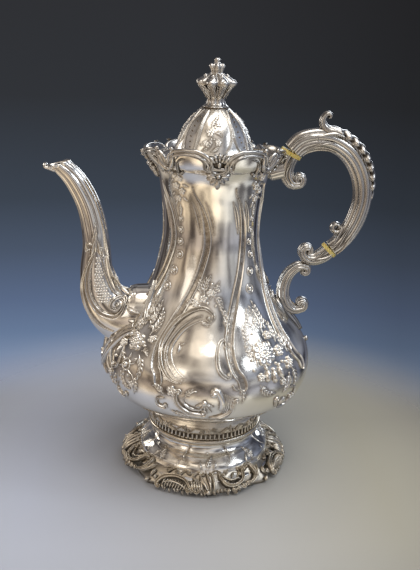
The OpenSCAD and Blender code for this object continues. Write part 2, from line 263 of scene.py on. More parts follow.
class Clay:
    def __init__(self):
        self.points, self.faces, self.depth, self.count = [], [], [], 0

    def add(self, points, faces, depth):
        self.points.append(np.asarray(points, float).reshape(-1, 3))
        self.faces += [tuple(int(v) + self.count for v in f) for f in faces]
        self.depth.append(np.broadcast_to(np.asarray(depth, float).reshape(-1), len(self.points[-1])))
        self.count += len(self.points[-1])

    def tube(self, rings, depth):
        """Closes a stack of rings, each a loop of points, into one solid with pointed ends."""
        n, m = rings.shape[:2]
        first, last = n * m, n * m + 1
        caps = [(first, (q + 1) % m, q) for q in range(m)]
        caps += [(last, (n - 1) * m + q, (n - 1) * m + (q + 1) % m) for q in range(m)]
        points = np.vstack([rings.reshape(-1, 3), rings[0].mean(0), rings[-1].mean(0)])
        ends = [depth[0].mean(keepdims=True), depth[-1].mean(keepdims=True)]
        self.add(points, grid_faces(n, m, False) + caps, np.concatenate([depth.reshape(-1)] + ends))

    def band(self, rings, depth):
        """Closes a stack of rings into one solid without ends: its last ring meets its first."""
        self.add(rings, grid_faces(*rings.shape[:2], True), depth)

    def add_clay(self, other, shift):
        """Sets another piece of clay down in this one, moved by shift."""
        self.add(other.points[0] + shift, other.faces, other.depth[0])

    def stroke(self, wrap, points, width, height, profile=profile_round, across=9, steps=None,
               lift=0.0, curved=True, shade=0.0):
        """A raised band along a drawn line; width and height may be lists that vary along it."""
        line = smooth_line(points, 10) if curved else np.asarray(points, float)
        if steps is None:
            steps = int(np.clip(along(line)[-1] / 0.55, 8, 160))
        line = evenly(line, steps)
        t = np.gradient(line, axis=0)
        t /= np.maximum(np.linalg.norm(t, axis=1), 1e-9)[:, None]
        side = np.stack([t[:, 1], -t[:, 0]], 1)
        at = np.linspace(0, 1, steps)

        def varied(v):
            v = np.atleast_1d(np.asarray(v, float))
            return np.interp(at, np.linspace(0, 1, len(v)), v)
        w, h = varied(width), varied(height)
        u = np.linspace(-1, 1, across)
        x = line[:, None, 0] + side[:, None, 0] * w[:, None] * u
        y = line[:, None, 1] + side[:, None, 1] * w[:, None] * u
        f = profile(u)
        out = lift + h[:, None] * f[None, :]
        out[:, 0] = out[:, -1] = lift + SINK
        p, _ = wrap(x, y, out)
        # the depth grows towards the band's edges, for tarnish; shade lifts it over the whole band, as
        # painted shade
        self.tube(p, np.maximum(shade, 1 - np.broadcast_to(np.clip(f, 0, 1), out.shape)))

    def round_form(self, wrap, x, y, radius, height, turn=0.0, rings=5, sectors=14,
                   stretch=1.0, lift=0.0, dish=0.0):
        """A berry, boss or petal: a dome on the surface, hollowed in its middle by dish."""
        reach = np.linspace(0, 1, rings + 1)[1:]
        angles = np.linspace(0, 2 * np.pi, sectors, endpoint=False)
        Q, T = np.meshgrid(reach, angles, indexing="ij")
        out = height * (profile_round(Q) * (1 - dish) + dish * np.sin(np.pi * Q) ** 0.7)
        out[-1] = SINK
        c, w = math.cos(math.radians(turn)), math.sin(math.radians(turn))
        px, py = radius * stretch * Q * np.cos(T), radius * Q * np.sin(T)
        p, _ = wrap(x + px * c - py * w, y + px * w + py * c, out + lift)
        centre_x, centre_y = np.array([x]), np.array([y])
        top, _ = wrap(centre_x, centre_y, np.array([lift + height * (1 - dish)]))
        bottom, _ = wrap(centre_x, centre_y, np.array([lift + SINK]))
        m, n = sectors, rings
        faces = [(0, 1 + j, 1 + (j + 1) % m) for j in range(m)]
        for i in range(n - 1):
            a, b = 1 + i * m, 1 + (i + 1) * m
            faces += [(a + j, b + j, b + (j + 1) % m, a + (j + 1) % m) for j in range(m)]
        end = 1 + (n - 1) * m
        faces += [(n * m + 1, end + (j + 1) % m, end + j) for j in range(m)]
        self.add(np.vstack([top, p.reshape(-1, 3), bottom]), faces,
                 np.concatenate([[0.0], smoothstep(Q, 0.8, 1.0).reshape(-1), [1.0]]))

    def build(self, name, material):
        mesh = bpy.data.meshes.new(name)
        mesh.from_pydata(np.vstack(self.points) * MM, [], self.faces)
        work = bmesh.new()
        work.from_mesh(mesh)
        bmesh.ops.recalc_face_normals(work, faces=work.faces)
        work.to_mesh(mesh)
        work.free()
        mesh.attributes.new("depth", "FLOAT", "POINT").data.foreach_set(
            "value", np.concatenate(self.depth).astype(np.float32))
        mesh.polygons.foreach_set("use_smooth", np.ones(len(mesh.polygons), bool))
        mesh.materials.append(material)
        mesh.update()
        piece = bpy.data.objects.new(name, mesh)
        bpy.context.scene.collection.objects.link(piece)
        return piece


def fitted(piece, body, replaces):
    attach(piece, body)
    if replaces:
        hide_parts(*replaces)
    print(piece.name, len(piece.data.polygons), "faces")
    return piece


def add_piece(clay, name, material, body="pot", replaces=()):
    return fitted(clay.build(name, material), body, replaces)


# %% [markdown]
# ## Silver
#
# Polished silver is almost a mirror, so its look is made by what it reflects, by the slight
# waves that hammering leaves, and by the brown tarnish that polishing cloths never reach. The
# tarnish is a node group, because every silver material on the pot shares it: it reads the
# `depth` of the relief and breaks it up with noise. Where a piece forces its depth up, in the
# valleys of the rim, the slits of the foot, the band behind the reeds, the inside of the rim and
# the mouth of the spout, the same darkening is painted shade.

# %% Node helpers
def new_group(name, inputs, outputs):
    tree = bpy.data.node_groups.new(name, "ShaderNodeTree")
    for label, kind, value in inputs:
        socket = tree.interface.new_socket(label, in_out="INPUT", socket_type=kind)
        if value is not None:
            socket.default_value = value
    for label, kind in outputs:
        tree.interface.new_socket(label, in_out="OUTPUT", socket_type=kind)
    return tree, tree.nodes.new("NodeGroupInput"), tree.nodes.new("NodeGroupOutput")


def node(tree, kind, inputs=(), **settings):
    n = tree.nodes.new(kind)
    for key, value in settings.items():
        setattr(n, key, value)
    for key, value in dict(inputs).items():
        if isinstance(value, bpy.types.NodeSocket):
            tree.links.new(value, n.inputs[key])
        else:
            n.inputs[key].default_value = value
    return n


def maths(tree, operation, a, b=0.0, clamp=False):
    return node(tree, "ShaderNodeMath", {0: a, 1: b}, operation=operation, use_clamp=clamp).outputs[0]


# %% The tarnish and painted shade group
NUMBER, COLOUR = "NodeSocketFloat", "NodeSocketColor"
tarnish_and_shade_group, gi, go = new_group(
    "Tarnish and painted shade in recesses",
    [("Amount", NUMBER, 0.8), ("Bloom", NUMBER, 0.15), ("Bright", COLOUR, (0.93, 0.91, 0.87, 1)),
     ("Dark", COLOUR, (0.16, 0.12, 0.08, 1)), ("Polish", NUMBER, 0.1), ("Dullness", NUMBER, 0.3)],
    [("Color", COLOUR), ("Roughness", NUMBER)])
t = tarnish_and_shade_group
place = node(t, "ShaderNodeTexCoord").outputs["Object"]
depth = node(t, "ShaderNodeAttribute", attribute_name="depth").outputs["Fac"]
fine = node(t, "ShaderNodeTexNoise", {"Vector": place, "Scale": 420.0, "Detail": 4.0}).outputs["Fac"]
broad = node(t, "ShaderNodeTexNoise", {"Vector": place, "Scale": 38.0, "Detail": 3.0}).outputs["Fac"]
recess = maths(t, "POWER", depth, 1.6)
recess = maths(t, "MULTIPLY", recess, maths(t, "ADD", maths(t, "MULTIPLY", fine, 1.1), 0.35))
recess = maths(t, "MULTIPLY", recess, gi.outputs["Amount"], True)
bloom = maths(t, "MULTIPLY", maths(t, "SUBTRACT", broad, 0.42, True), 2.2)
bloom = maths(t, "MULTIPLY", bloom, gi.outputs["Bloom"], True)
mask = maths(t, "MAXIMUM", recess, bloom)
tone = node(t, "ShaderNodeMix", data_type="RGBA")
t.links.new(mask, tone.inputs[0])
t.links.new(gi.outputs["Bright"], tone.inputs[6])
t.links.new(gi.outputs["Dark"], tone.inputs[7])
t.links.new(tone.outputs[2], go.inputs["Color"])
rough = maths(t, "ADD", gi.outputs["Polish"], maths(t, "MULTIPLY", mask, gi.outputs["Dullness"]))
t.links.new(rough, go.inputs["Roughness"])
print(tarnish_and_shade_group.name, len(t.nodes), "nodes")

# %% The hand-worked surface group
handwork_group, gi, go = new_group(
    "Hand-worked surface",
    [("Waves", NUMBER, 0.2), ("Scratches", NUMBER, 0.05), ("Wave size", NUMBER, 55.0)],
    [("Height", NUMBER)])
t = handwork_group
place = node(t, "ShaderNodeTexCoord").outputs["Object"]
waves = node(t, "ShaderNodeTexNoise", {"Vector": place, "Scale": gi.outputs["Wave size"],
    "Detail": 1.5}).outputs["Fac"]
turned = node(t, "ShaderNodeMapping", {"Vector": place, "Scale": (1.0, 1.0, 9.0),
    "Rotation": (0.3, 0.5, 0.2)}).outputs[0]
hair = node(t, "ShaderNodeTexNoise", {"Vector": turned, "Scale": 1500.0, "Detail": 2.0}).outputs["Fac"]
height = maths(t, "ADD", maths(t, "MULTIPLY", waves, gi.outputs["Waves"]),
               maths(t, "MULTIPLY", hair, gi.outputs["Scratches"]))
t.links.new(height, go.inputs["Height"])
print(handwork_group.name, len(t.nodes), "nodes")


# %% The silver finishes
def make_silver(name, bright, dark, amount, bloom, polish, dullness, waves, scratches, wave_size=55.0):
    material = bpy.data.materials.new(name)
    material.use_nodes = True
    tree = material.node_tree
    shader = tree.nodes["Principled BSDF"]
    shader.inputs["Metallic"].default_value = 1.0
    tarnish_and_shade = node(tree, "ShaderNodeGroup", node_tree=tarnish_and_shade_group)
    for label, value in (("Amount", amount), ("Bloom", bloom), ("Bright", (*bright, 1)),
                         ("Dark", (*dark, 1)), ("Polish", polish), ("Dullness", dullness)):
        tarnish_and_shade.inputs[label].default_value = value
    tree.links.new(tarnish_and_shade.outputs["Color"], shader.inputs["Base Color"])
    tree.links.new(tarnish_and_shade.outputs["Roughness"], shader.inputs["Roughness"])
    hand = node(tree, "ShaderNodeGroup", node_tree=handwork_group)
    hand.inputs["Waves"].default_value = waves
    hand.inputs["Scratches"].default_value = scratches
    hand.inputs["Wave size"].default_value = wave_size
    bump = node(tree, "ShaderNodeBump", {"Height": hand.outputs[0], "Strength": 1.0, "Distance": MM})
    tree.links.new(bump.outputs[0], shader.inputs["Normal"])
    return material


# Columns: bright colour, dark colour, amount of the tarnish and painted shade in recesses and bloom of the
# tarnish, roughness where polished, roughness that the darkening adds, height of the hammer waves, height
# of the scratches, wave size
sheet_silver = make_silver("sheet_silver", (0.95, 0.925, 0.875), (0.20, 0.15, 0.10), 1.0, 0.15, 0.09, 0.25,
    0.42, 0.010)
cast_silver = make_silver("cast_silver", (0.66, 0.635, 0.60), (0.08, 0.065, 0.05), 1.2, 0.40, 0.15, 0.30,
    0.16, 0.020, 120.0)
lid_silver = make_silver("lid_silver", (0.95, 0.925, 0.87), (0.20, 0.15, 0.10), 1.2, 0.20, 0.21, 0.25,
    0.42, 0.010)
border_silver = make_silver("border_silver", (0.78, 0.71, 0.60), (0.11, 0.085, 0.06), 1.05, 0.45, 0.20,
    0.35, 0.16, 0.020, 120.0)
plain_silver = make_silver("plain_silver", (0.86, 0.83, 0.78), (0.18, 0.14, 0.10), 0.6, 0.25, 0.2, 0.2,
    0.10, 0.030)
inside_silver = make_silver("inside_silver", (0.80, 0.76, 0.70), (0.14, 0.11, 0.08), 0.6, 0.9, 0.32, 0.25,
    0.30, 0.030)
joint_tarnish_and_hole_shade_silver = make_silver("joint_tarnish_and_hole_shade_silver", (0.16, 0.125, 0.09), (0.05, 0.04, 0.03), 1.0, 0.5, 0.35,
    0.2, 0.1, 0.03)

# %% [markdown]
# ## Ivory
#
# The two thin rings in the handle keep the heat of the pot from the hand. Old ivory is warm
# yellow, slightly glossy, and its grain shows as fine parallel lines.

# %% Ivory
def make_ivory():
    material = bpy.data.materials.new("old_ivory")
    material.use_nodes = True
    tree = material.node_tree
    shader = tree.nodes["Principled BSDF"]
    place = node(tree, "ShaderNodeTexCoord").outputs["Object"]
    grain = node(tree, "ShaderNodeTexWave", {"Vector": place, "Scale": 260.0, "Distortion": 5.0,
                                             "Detail": 2.0, "Detail Scale": 2.0}).outputs["Fac"]
    stain = node(tree, "ShaderNodeTexNoise",
        {"Vector": place, "Scale": 190.0, "Detail": 4.0}).outputs["Fac"]
    mixed = maths(tree, "ADD", maths(tree, "MULTIPLY", grain, 0.35), maths(tree, "MULTIPLY", stain, 0.65))
    ramp = node(tree, "ShaderNodeValToRGB", {"Fac": mixed})
    ramp.color_ramp.elements[0].position = 0.25
    ramp.color_ramp.elements[0].color = (0.50, 0.36, 0.06, 1)
    ramp.color_ramp.elements[1].position = 0.8
    ramp.color_ramp.elements[1].color = (0.86, 0.74, 0.30, 1)
    tree.links.new(ramp.outputs[0], shader.inputs["Base Color"])
    shader.inputs["Roughness"].default_value = 0.38
    shader.inputs["Subsurface Weight"].default_value = 0.1
    shader.inputs["Subsurface Scale"].default_value = 0.001
    bump = node(tree, "ShaderNodeBump", {"Height": grain, "Strength": 0.25, "Distance": 0.2 * MM})
    tree.links.new(bump.outputs[0], shader.inputs["Normal"])
    return material


ivory = make_ivory()
print("materials", [m.name for m in bpy.data.materials])

# %% [markdown]
# ## Copies around the axis
#
# The pot has eight ribs, eight arches on its rim and a border of repeated castings. A maker
# casts or chases one and repeats it, and so does this small Geometry Nodes tree: it places a
# unit at even turns about the Z axis, makes the copies real and gives them their metal.

# %% A Geometry Nodes tree: ring of copies
COUNT = "NodeSocketInt"


def node_tree(name, inputs):
    """A tree that takes geometry, the inputs listed and a material, and puts out geometry."""
    tree = bpy.data.node_groups.new(name, "GeometryNodeTree")
    ids = {}
    for label, kind, value in [("Geometry", "NodeSocketGeometry", None), *inputs,
                               ("Material", "NodeSocketMaterial", None)]:
        socket = tree.interface.new_socket(label, in_out="INPUT", socket_type=kind)
        if value is not None:
            socket.default_value = value
        ids[label] = socket.identifier
    tree.interface.new_socket("Geometry", in_out="OUTPUT", socket_type="NodeSocketGeometry")
    return tree, tree.nodes.new("NodeGroupInput"), tree.nodes.new("NodeGroupOutput"), ids


def finish_tree(tree, geometry, material, out):
    real = node(tree, "GeometryNodeRealizeInstances", {"Geometry": geometry})
    coat = node(tree, "GeometryNodeSetMaterial", {"Geometry": real.outputs[0], "Material": material})
    tree.links.new(coat.outputs[0], out.inputs["Geometry"])


ring_tree, gi, go, ring_ids = node_tree("Ring of copies",
    [("Count", COUNT, 8), ("First turn", NUMBER, 0.0)])
t = ring_tree
spots = node(t, "GeometryNodePoints", {"Count": gi.outputs["Count"]}).outputs[0]
index = node(t, "GeometryNodeInputIndex").outputs[0]
step = maths(t, "DIVIDE", 2 * math.pi, gi.outputs["Count"])
angle = maths(t, "ADD", maths(t, "MULTIPLY", index, step), gi.outputs["First turn"])
turn = node(t, "ShaderNodeCombineXYZ", {"Z": angle}).outputs[0]
copies = node(t, "GeometryNodeInstanceOnPoints",
              {"Points": spots, "Instance": gi.outputs["Geometry"], "Rotation": turn}).outputs[0]
finish_tree(t, copies, gi.outputs["Material"], go)


def grown(piece, tree, ids, settings, name, material):
    """Runs a Geometry Nodes tree on a piece and returns the result as a plain mesh object."""
    modifier = piece.modifiers.new("grow", "NODES")
    modifier.node_group = tree
    for label, value in settings.items():
        modifier[ids[label]] = value
    evaluated = piece.evaluated_get(bpy.context.evaluated_depsgraph_get())
    mesh = bpy.data.meshes.new_from_object(evaluated)
    mesh.name = name
    bpy.data.objects.remove(piece)
    result = bpy.data.objects.new(name, mesh)
    bpy.context.scene.collection.objects.link(result)
    if not mesh.materials:
        mesh.materials.append(material)
    return result


def ring_of(clay, name, material, count, body="pot"):
    unit = clay.build(name + "_unit", material)
    piece = grown(unit, ring_tree, ring_ids, {"Count": count, "Material": material}, name, material)
    return fitted(piece, body, ())

# %% [markdown]
# ## A drawing board
#
# `Patch` is a board laid on a surface. Places on it are written as (degrees, height) on the
# pot, or (degrees, station) on a pipe, and sizes in mm. It knows the ornaments that return all
# over the pot: plain lines, scrolls that end in a curl, leaves, sprays of leaves and flowers.

# %% The drawing board
def with_curl(line, radius, turns, side):
    """Continues a flat line into a curl, to its left (side 1) or its right (side -1)."""
    p = evenly(line, 60)
    d = (p[-1] - p[-3]) / np.linalg.norm(p[-1] - p[-3])
    n = np.array([-d[1], d[0]]) * side
    centre = p[-1] + n * radius
    t = np.linspace(0, 1, 40)[1:]
    a = math.atan2(-n[1], -n[0]) + side * 2 * math.pi * turns * t
    r = radius * (1 - 0.78 * t)
    return np.vstack([p, centre + np.stack([r * np.cos(a), r * np.sin(a)], 1)]), centre


class Patch:
    def __init__(self, clay, surface, degrees, height, lift=0.25):
        self.clay, self.surface, self.home, self.lift = clay, surface, (degrees, height), lift
        self.wrap = surface.wrap(degrees, height)

    def at(self, points):
        return self.surface.flat(np.atleast_2d(points), *self.home)

    def line(self, points, width, height, profile=profile_round, **more):
        more.setdefault("lift", self.lift)
        self.clay.stroke(self.wrap, self.at(points), width, height, profile, **more)

    def moulding(self, points, width, height, **more):
        """Two parallel beads along a line."""
        self.line(points, width, height, profile_moulding, **{"across": 13, **more})

    def scroll(self, points, width, height, curl, side=1, turns=1.15, profile=profile_moulding,
               both=None, boss=0.45, across=13):
        line, centre = with_curl(smooth_line(self.at(points)), curl, turns, side)
        ends = [(centre, curl)]
        if both:
            line, centre = with_curl(line[::-1], both[0], turns, both[1])
            ends.append((centre, both[0]))
        taper = np.array([0.35 if both else 0.15, 0.8, 1, 1, 1, 1, 0.9, 0.7, 0.35])
        self.clay.stroke(self.wrap, line, taper * width, (0.4 + 0.6 * taper) * height, profile, across,
                         steps=int(np.clip(along(line)[-1] / 0.6, 20, 170)), lift=self.lift, curved=False)
        for (x, y), r in ends:
            self.clay.round_form(self.wrap, x, y, r * boss, height * 1.15, lift=self.lift)

    def leaf_at(self, x, y, angle, length, width, height=1.2, bend=0.0):
        a = np.radians(angle + bend * np.linspace(0, 1, 7))
        reach = np.cumsum(np.stack([np.cos(a), np.sin(a)], 1) * (length / 7), axis=0)
        line = np.vstack([[x, y], [x, y] + reach])
        self.clay.stroke(self.wrap, line, np.array([0.25, 0.75, 1, 1, 0.85, 0.6, 0.3, 0.05]) * width,
                         np.array([0.7, 1, 1, 0.8, 0.5]) * height, profile_leaf, 9,
                         steps=int(np.clip(length / 0.8, 8, 26)), lift=self.lift)

    def leaf(self, place, angle, length, width, height=1.2, bend=0.0):
        x, y = self.at(place)[0]
        self.leaf_at(x, y, angle, length, width, height, bend)

    def leaves(self, *rows):
        """Rows of a place, heading, length, width, height and bend."""
        for x, y, *measures in rows:
            self.leaf((x, y), *measures)

    def fan(self, place, angle, length, count, spread, width, height=1.2, droop=0.25):
        """Leaves that radiate from one place, the middle one longest."""
        for k in np.linspace(-1, 1, count):
            self.leaf(place, angle + k * spread, length * (1 - droop * k * k), width, height, bend=14 * k)

    def spray(self, points, leaves, size, height=1.1, spread=48):
        """A stem with leaves to its left and right and one at its end."""
        line = evenly(smooth_line(self.at(points)), leaves + 3)
        self.clay.stroke(self.wrap, line, [0.5, 0.45, 0.3], height * 0.6, profile_round, 5, lift=self.lift)
        for k in range(1, leaves + 2):
            d = line[k + 1] - line[k - 1] if k < leaves + 1 else line[k + 1] - line[k]
            heading = math.degrees(math.atan2(d[1], d[0]))
            length = size * (1.15 - 0.45 * k / leaves)
            sides = (-1, 1) if k <= leaves else (0,)
            for side in sides:
                self.leaf_at(*line[k], heading + side * spread, length, 0.34 * length, height,
                    bend=-side * 40)

    def sprays(self, *rows, height=1.1):
        """Rows of three places, the number of leaves and their size."""
        for *places, leaves, size in rows:
            self.spray(np.reshape(places, (3, 2)), leaves, size, height)

    def flowers(self, *rows):
        """Rows of a place, radius and height; each flower has five petals."""
        for x, y, radius, height in rows:
            self.flower((x, y), radius, height, 5)

    def flower(self, place, radius, height=2.0, petals=6, turn=10.0):
        """Cupped petals round a button; a large flower has a second ring of them."""
        x, y = self.at(place)[0]
        form = self.clay.round_form
        layers = ((0.66, 0.37, 0.75), (0.36, 0.27, 1.0)) if radius > 4 else ((0.56, 0.46, 0.85),)
        for layer, (far, size, tall) in enumerate(layers):
            for k in range(petals):
                a = turn + (k + 0.5 * layer) * 360 / petals
                petal_x = x + far * radius * math.cos(math.radians(a))
                petal_y = y + far * radius * math.sin(math.radians(a))
                form(self.wrap, petal_x, petal_y, size * radius, height * tall, sectors=12,
                     stretch=1.12, turn=a, lift=self.lift, dish=0.5)
        form(self.wrap, x, y, radius * 0.24, height * 1.05, rings=4, sectors=10, lift=self.lift)

    def bead(self, place, radius, height=None, stretch=1.0, turn=0.0):
        x, y = self.at(place)[0]
        self.clay.round_form(self.wrap, x, y, radius, height or radius * 0.8, turn=turn,
                             stretch=stretch, lift=self.lift)

    def boss(self, place, radius):
        """A round boss in a ring."""
        x, y = self.at(place)[0]
        a = np.linspace(0, 2 * math.pi, 25)
        ring = np.stack([x + radius * np.cos(a), y + radius * np.sin(a)], 1)
        self.clay.stroke(self.wrap, ring, radius * 0.2, radius * 0.3, profile_round, 5, 25, self.lift,
            False)
        self.bead(place, radius * 0.62, radius * 0.75)

# %% [markdown]
# ## The raised body
#
# The body is one sheet of silver, raised with hammers into a pear. Its outline here is the
# outline of the CAD wall; the visible skin lies just outside that wall and swells a little
# between the ribs. The wall itself stays: it is the inside of the pot, with its strainer holes.

# %% Outline and swirl of the body
BASE_Z, TOP_Z = 44.0, 218.0
BODY = Turned([[37, BASE_Z], [46.5, 50], [57, 56], [65.5, 63], [69.6, 72], [70.4, 82], [68, 92],
               [61.5, 102], [53.5, 111], [46.5, 120], [40.5, 130], [36.5, 140], [33.4, 152],
               [31, 166], [31.3, 180], [33, 194], [35.2, 206], [38.4, 213], [42, TOP_Z]])
RIBS = 8
RIB_STEP = 360 / RIBS
SKIN_GAP = 0.06

print("outline of the body:", round(BODY.s[-1], 1), "mm from foot to rim")

# The ribs sway: degrees off a straight line, at each height
SWAY = smooth_line([[218, -2], [203, -2], [193, 6], [181, 12], [167, 14], [150, 8], [134, -1],
                    [119, -9], [107, -12.5], [96, -11], [86, -7], [44, -7]])[::-1]


def sway(z):
    return np.interp(z, SWAY[:, 0], SWAY[:, 1])


# %% [markdown]
# ## The ribs
#
# Eight ribs sway down the body like the seams of a melon. Each one starts as a point under the
# rim, widens, and ends below the belly's widest line in a rounded tongue: two fine beads with a
# hollow between them. One rib is drawn as a stroke on the body and the ring tree repeats it.

# %% One rib, repeated eight times
def profile_rib(u):
    edge = np.exp(-((np.abs(u) - 0.74) / 0.2) ** 2)
    return np.clip(0.12 + 0.88 * edge, 0, 1) * smoothstep(1 - np.abs(u), 0.0, 0.16)


heights = np.linspace(205, 84, 60)
rib_line = np.stack([RIB_STEP / 2 + sway(heights), heights], 1)
t = np.linspace(0, 1, 80)
rib_width = 0.4 + 2.4 * smoothstep(t, 0, 0.25) + 0.7 * smoothstep(t, 0.35, 0.8)
rib_width = rib_width * np.sqrt(np.clip(1 - ((t - 0.97) / 0.03).clip(0, 1) ** 2, 0.01, 1))
rib = Clay()
middle = Patch(rib, BODY, RIB_STEP / 2, 140)
middle.line(rib_line, rib_width, [0.5, 1.1, 1.3, 1.5, 1.6, 1.5], profile_rib, across=23, steps=200,
    curved=False)
for side in (-1, 1):
    flute = [(RIB_STEP / 2 + sway(z) + side * 7.6, z) for z in (196, 190, 183, 177, 174.5)]
    middle.line(flute, [0.15, 0.8, 1.1, 1.2, 1.2, 0.9, 0.25], [0.2, 0.55, 0.7, 0.7, 0.5], profile_rib,
                across=15, steps=40)
ring_of(rib, "body_ribs", sheet_silver, RIBS)

# %% [markdown]
# ## The cartouche
#
# The front and the back carry a plain oval for an owner's mark, left empty here, in a frame of
# scrolls: three parallel mouldings sweep up its left side and over the top, a C answers them on
# the right, and below sit a shell, a hatched fan, a knob and small flowers. The chaser pushes
# these out from inside and sharpens them from outside. It is drawn once and turned to the back.

# %% Cartouche
frame_clay = Clay()
p = Patch(frame_clay, BODY, -11, 108)
p.scroll([(-17, 88.5), (-23, 90), (-29.5, 97), (-33.6, 107), (-30.5, 117.5), (-20, 125.8), (-8, 128.6),
    (-0.5, 125.2)], 1.9, 3.0, 3.2, side=-1, turns=0.9)
p.moulding([(-16, 90.3), (-21.5, 92.5), (-27.5, 99.5), (-29.6, 107.5), (-25.5, 115.8), (-17, 122),
    (-9, 124.3)], [0.3, 1.2, 1.5, 1.5, 1.2, 0.5], [0.8, 1.8, 2.0, 2.0, 1.4])
p.line([(-15.5, 91.8), (-20.5, 95.5), (-25, 101.5), (-26, 108), (-21, 116), (-12, 120.8), (-6.5, 121.8)],
       [0.2, 0.6, 0.7, 0.7, 0.5, 0.2], [0.5, 1.1, 1.2, 1.1, 0.6])
p.scroll([(9.5, 109.5), (6.5, 111.6), (3.2, 108.8), (1.9, 102.5), (3.0, 96.0), (6.5, 92.6)], 1.6, 2.6, 2.0,
    side=1, turns=0.9, both=(1.9, -1))
p.leaves((-22, 104, 70, 7, 1.5, 1.3, 35), (-21.5, 108, 40, 4, 1.0, 1.0, -30))
p.spray([(-9.5, 121.6), (-5.5, 119.5), (-2, 120.2)], 3, 3.0, 1.2)
# the knob and its stem
p.scroll([(3.0, 72.5), (4.4, 78), (2.4, 84.5)], 2.2, 3.4, 3.0, side=1, turns=0.55, profile=profile_round,
    boss=0.75)
p.fan((-4.5, 77), -90, 8.5, 5, 62, 1.6, 2.0)
p.bead((-4.5, 77.3), 2.0, 2.6)
for k in range(7):
    p.line([(3.6 + 1.0 * k, 84 - 0.6 * k), (5.0 + 0.9 * k, 78 - 1.1 * k), (4.4 + 0.5 * k, 70 - 0.8 * k)],
           [0.2, 0.55, 0.5, 0.15], [0.5, 1.2, 0.6])
p.scroll([(-19.5, 82.5), (-18.4, 75.5), (-12.5, 69.8), (-5.5, 68.4)], 2.1, 2.8, 2.2, side=1, turns=0.8,
    both=(2.2, -1))
p.line([(-15.5, 80), (-14.5, 75.5), (-10, 72.5), (-5.5, 72)], [0.2, 1.0, 1.1, 0.3], [0.6, 1.8, 1.8, 0.6])
p.scroll([(-25.5, 77.5), (-29.4, 76.2), (-29.6, 71.8), (-26.2, 70.3)], 1.2, 1.9, 1.8, side=1, turns=0.9)
p.scroll([(-2, 65.6), (3.5, 66.8), (8.6, 71.5), (10.6, 78)], 1.4, 2.0, 1.8, side=-1, turns=0.8)
p.spray([(-10, 66), (-16, 66.5), (-22, 69)], 4, 3.6)
p.flower((-21.5, 83.2), 3.6, 2.4, 5)
p.sprays((-26, 80, -30, 84, -33, 84, 3, 4.0), (-15, 80, -12, 84, -8.5, 84.5, 3, 3.6),
    (12.5, 86, 15.5, 82, 14.8, 76, 3, 3.6))
p.leaf((9.5, 88.5), -60, 7, 1.5, 1.8, 40)
# the spray of flowers above
p.flower((-9.5, 134), 3.0, 1.8, 5)
p.flower((-3.0, 137.8), 2.6, 1.6, 5, 30)
p.flower((-16.5, 130.8), 2.4, 1.5, 5)
p.sprays((-9, 137, -8, 143.5, -3, 148.5, 4, 4.4), (-14, 132, -21, 131.5, -27, 127.5, 4, 4.0),
    (0, 136, 5, 133, 8, 126, 4, 4.0), (8.5, 124, 10.5, 119, 10.5, 114, 3, 3.4),
    (-3, 134, 1.5, 139, 6, 145, 4, 3.4), (-12, 137, -14, 142, -11.5, 147.5, 4, 3.2),
    (6, 128, 11, 124.5, 12.2, 118, 4, 3.2), (9.5, 108, 9.2, 103, 10.6, 99, 3, 3.0))
for place in ((-5.5, 131.5), (-12.6, 129.8), (2.4, 130.2), (-1.6, 143.2), (5.4, 139)):
    p.bead(place, 1.0, 1.2)
ring_of(frame_clay, "cartouches", sheet_silver, 2)

# %% [markdown]
# ## Flower panels
#
# Between the cartouches the panels carry roses with leaves and bulbs, in the highest relief on
# the pot. Above them hang a drop of small flowers and a string of ringed bosses that shrink
# towards the neck.

# %% Right-hand flower panel
rose_clay = Clay()
p = Patch(rose_clay, BODY, 34, 98)
p.flower((31.5, 102.5), 8.4, 3.0, 8)
for angle, length, bend in ((25, 5.5, 30), (75, 6, -30), (120, 5.5, 30), (160, 5, -20), (205, 5.5, 30),
    (-20, 5.5, -40), (250, 5, 20)):
    a = math.radians(angle)
    x, y = p.at((31.5, 102.5))[0]
    p.leaf_at(x + 7.0 * math.cos(a), y + 7.0 * math.sin(a), angle + 40, 0.8 * length, 2.3, 1.4, bend)
for place, radius in (((43.5, 101.5), 4.0), ((47.5, 93.5), 4.2), ((40.5, 110.5), 3.2), ((26, 90.5), 2.8)):
    p.flower(place, radius, 2.4, 5)
for k, place in enumerate(((30.0, 90.5), (34.4, 89.0), (39.0, 90.5))):
    p.bead(place, 2.3, 3.0, stretch=1.9, turn=-90 + 16 * (k - 1))
    p.bead((place[0], place[1] + 4.2), 1.5, 2.2)
p.sprays((38, 112, 36.5, 120, 33.5, 128, 5, 5.4), (24, 108, 23.5, 115, 27, 121, 4, 4.4),
    (46, 88, 45, 82, 41, 77, 4, 5.0), (25, 86, 29, 80, 35, 78, 4, 4.6),
    (50.5, 99, 50, 106, 46, 113, 4, 4.6), (49, 90, 51.5, 84, 50.5, 78, 3, 4.4))
p.scroll([(35.5, 72), (38, 66.5), (44, 65), (49, 68.5)], 1.2, 1.9, 1.8, side=1, both=(1.8, -1))
p.scroll([(46, 78), (51, 76), (52, 71)], 1.1, 1.8, 1.7, side=-1)
p.fan((42, 72), -90, 6.5, 5, 50, 1.2, 1.6)
p.sprays((33, 113, 29, 119, 30.5, 127, 5, 4.2), (42, 114, 41, 122, 37.5, 131, 5, 4.0),
    (24.5, 97, 21.8, 104, 21.5, 111, 4, 3.6), (45, 106, 47, 113, 44.5, 119, 4, 3.8),
    (53.5, 96, 54.5, 102, 52, 109, 4, 3.8))
p.flowers((34.5, 119, 2.2, 1.6), (40.5, 84, 2.6, 1.8))
for place in ((22.5, 100), (22.4, 95), (51, 107), (37.5, 96), (42.6, 95.6), (28.5, 113)):
    p.bead(place, 1.2, 1.5)
ring_of(rose_clay, "rose_panels_right", sheet_silver, 2)

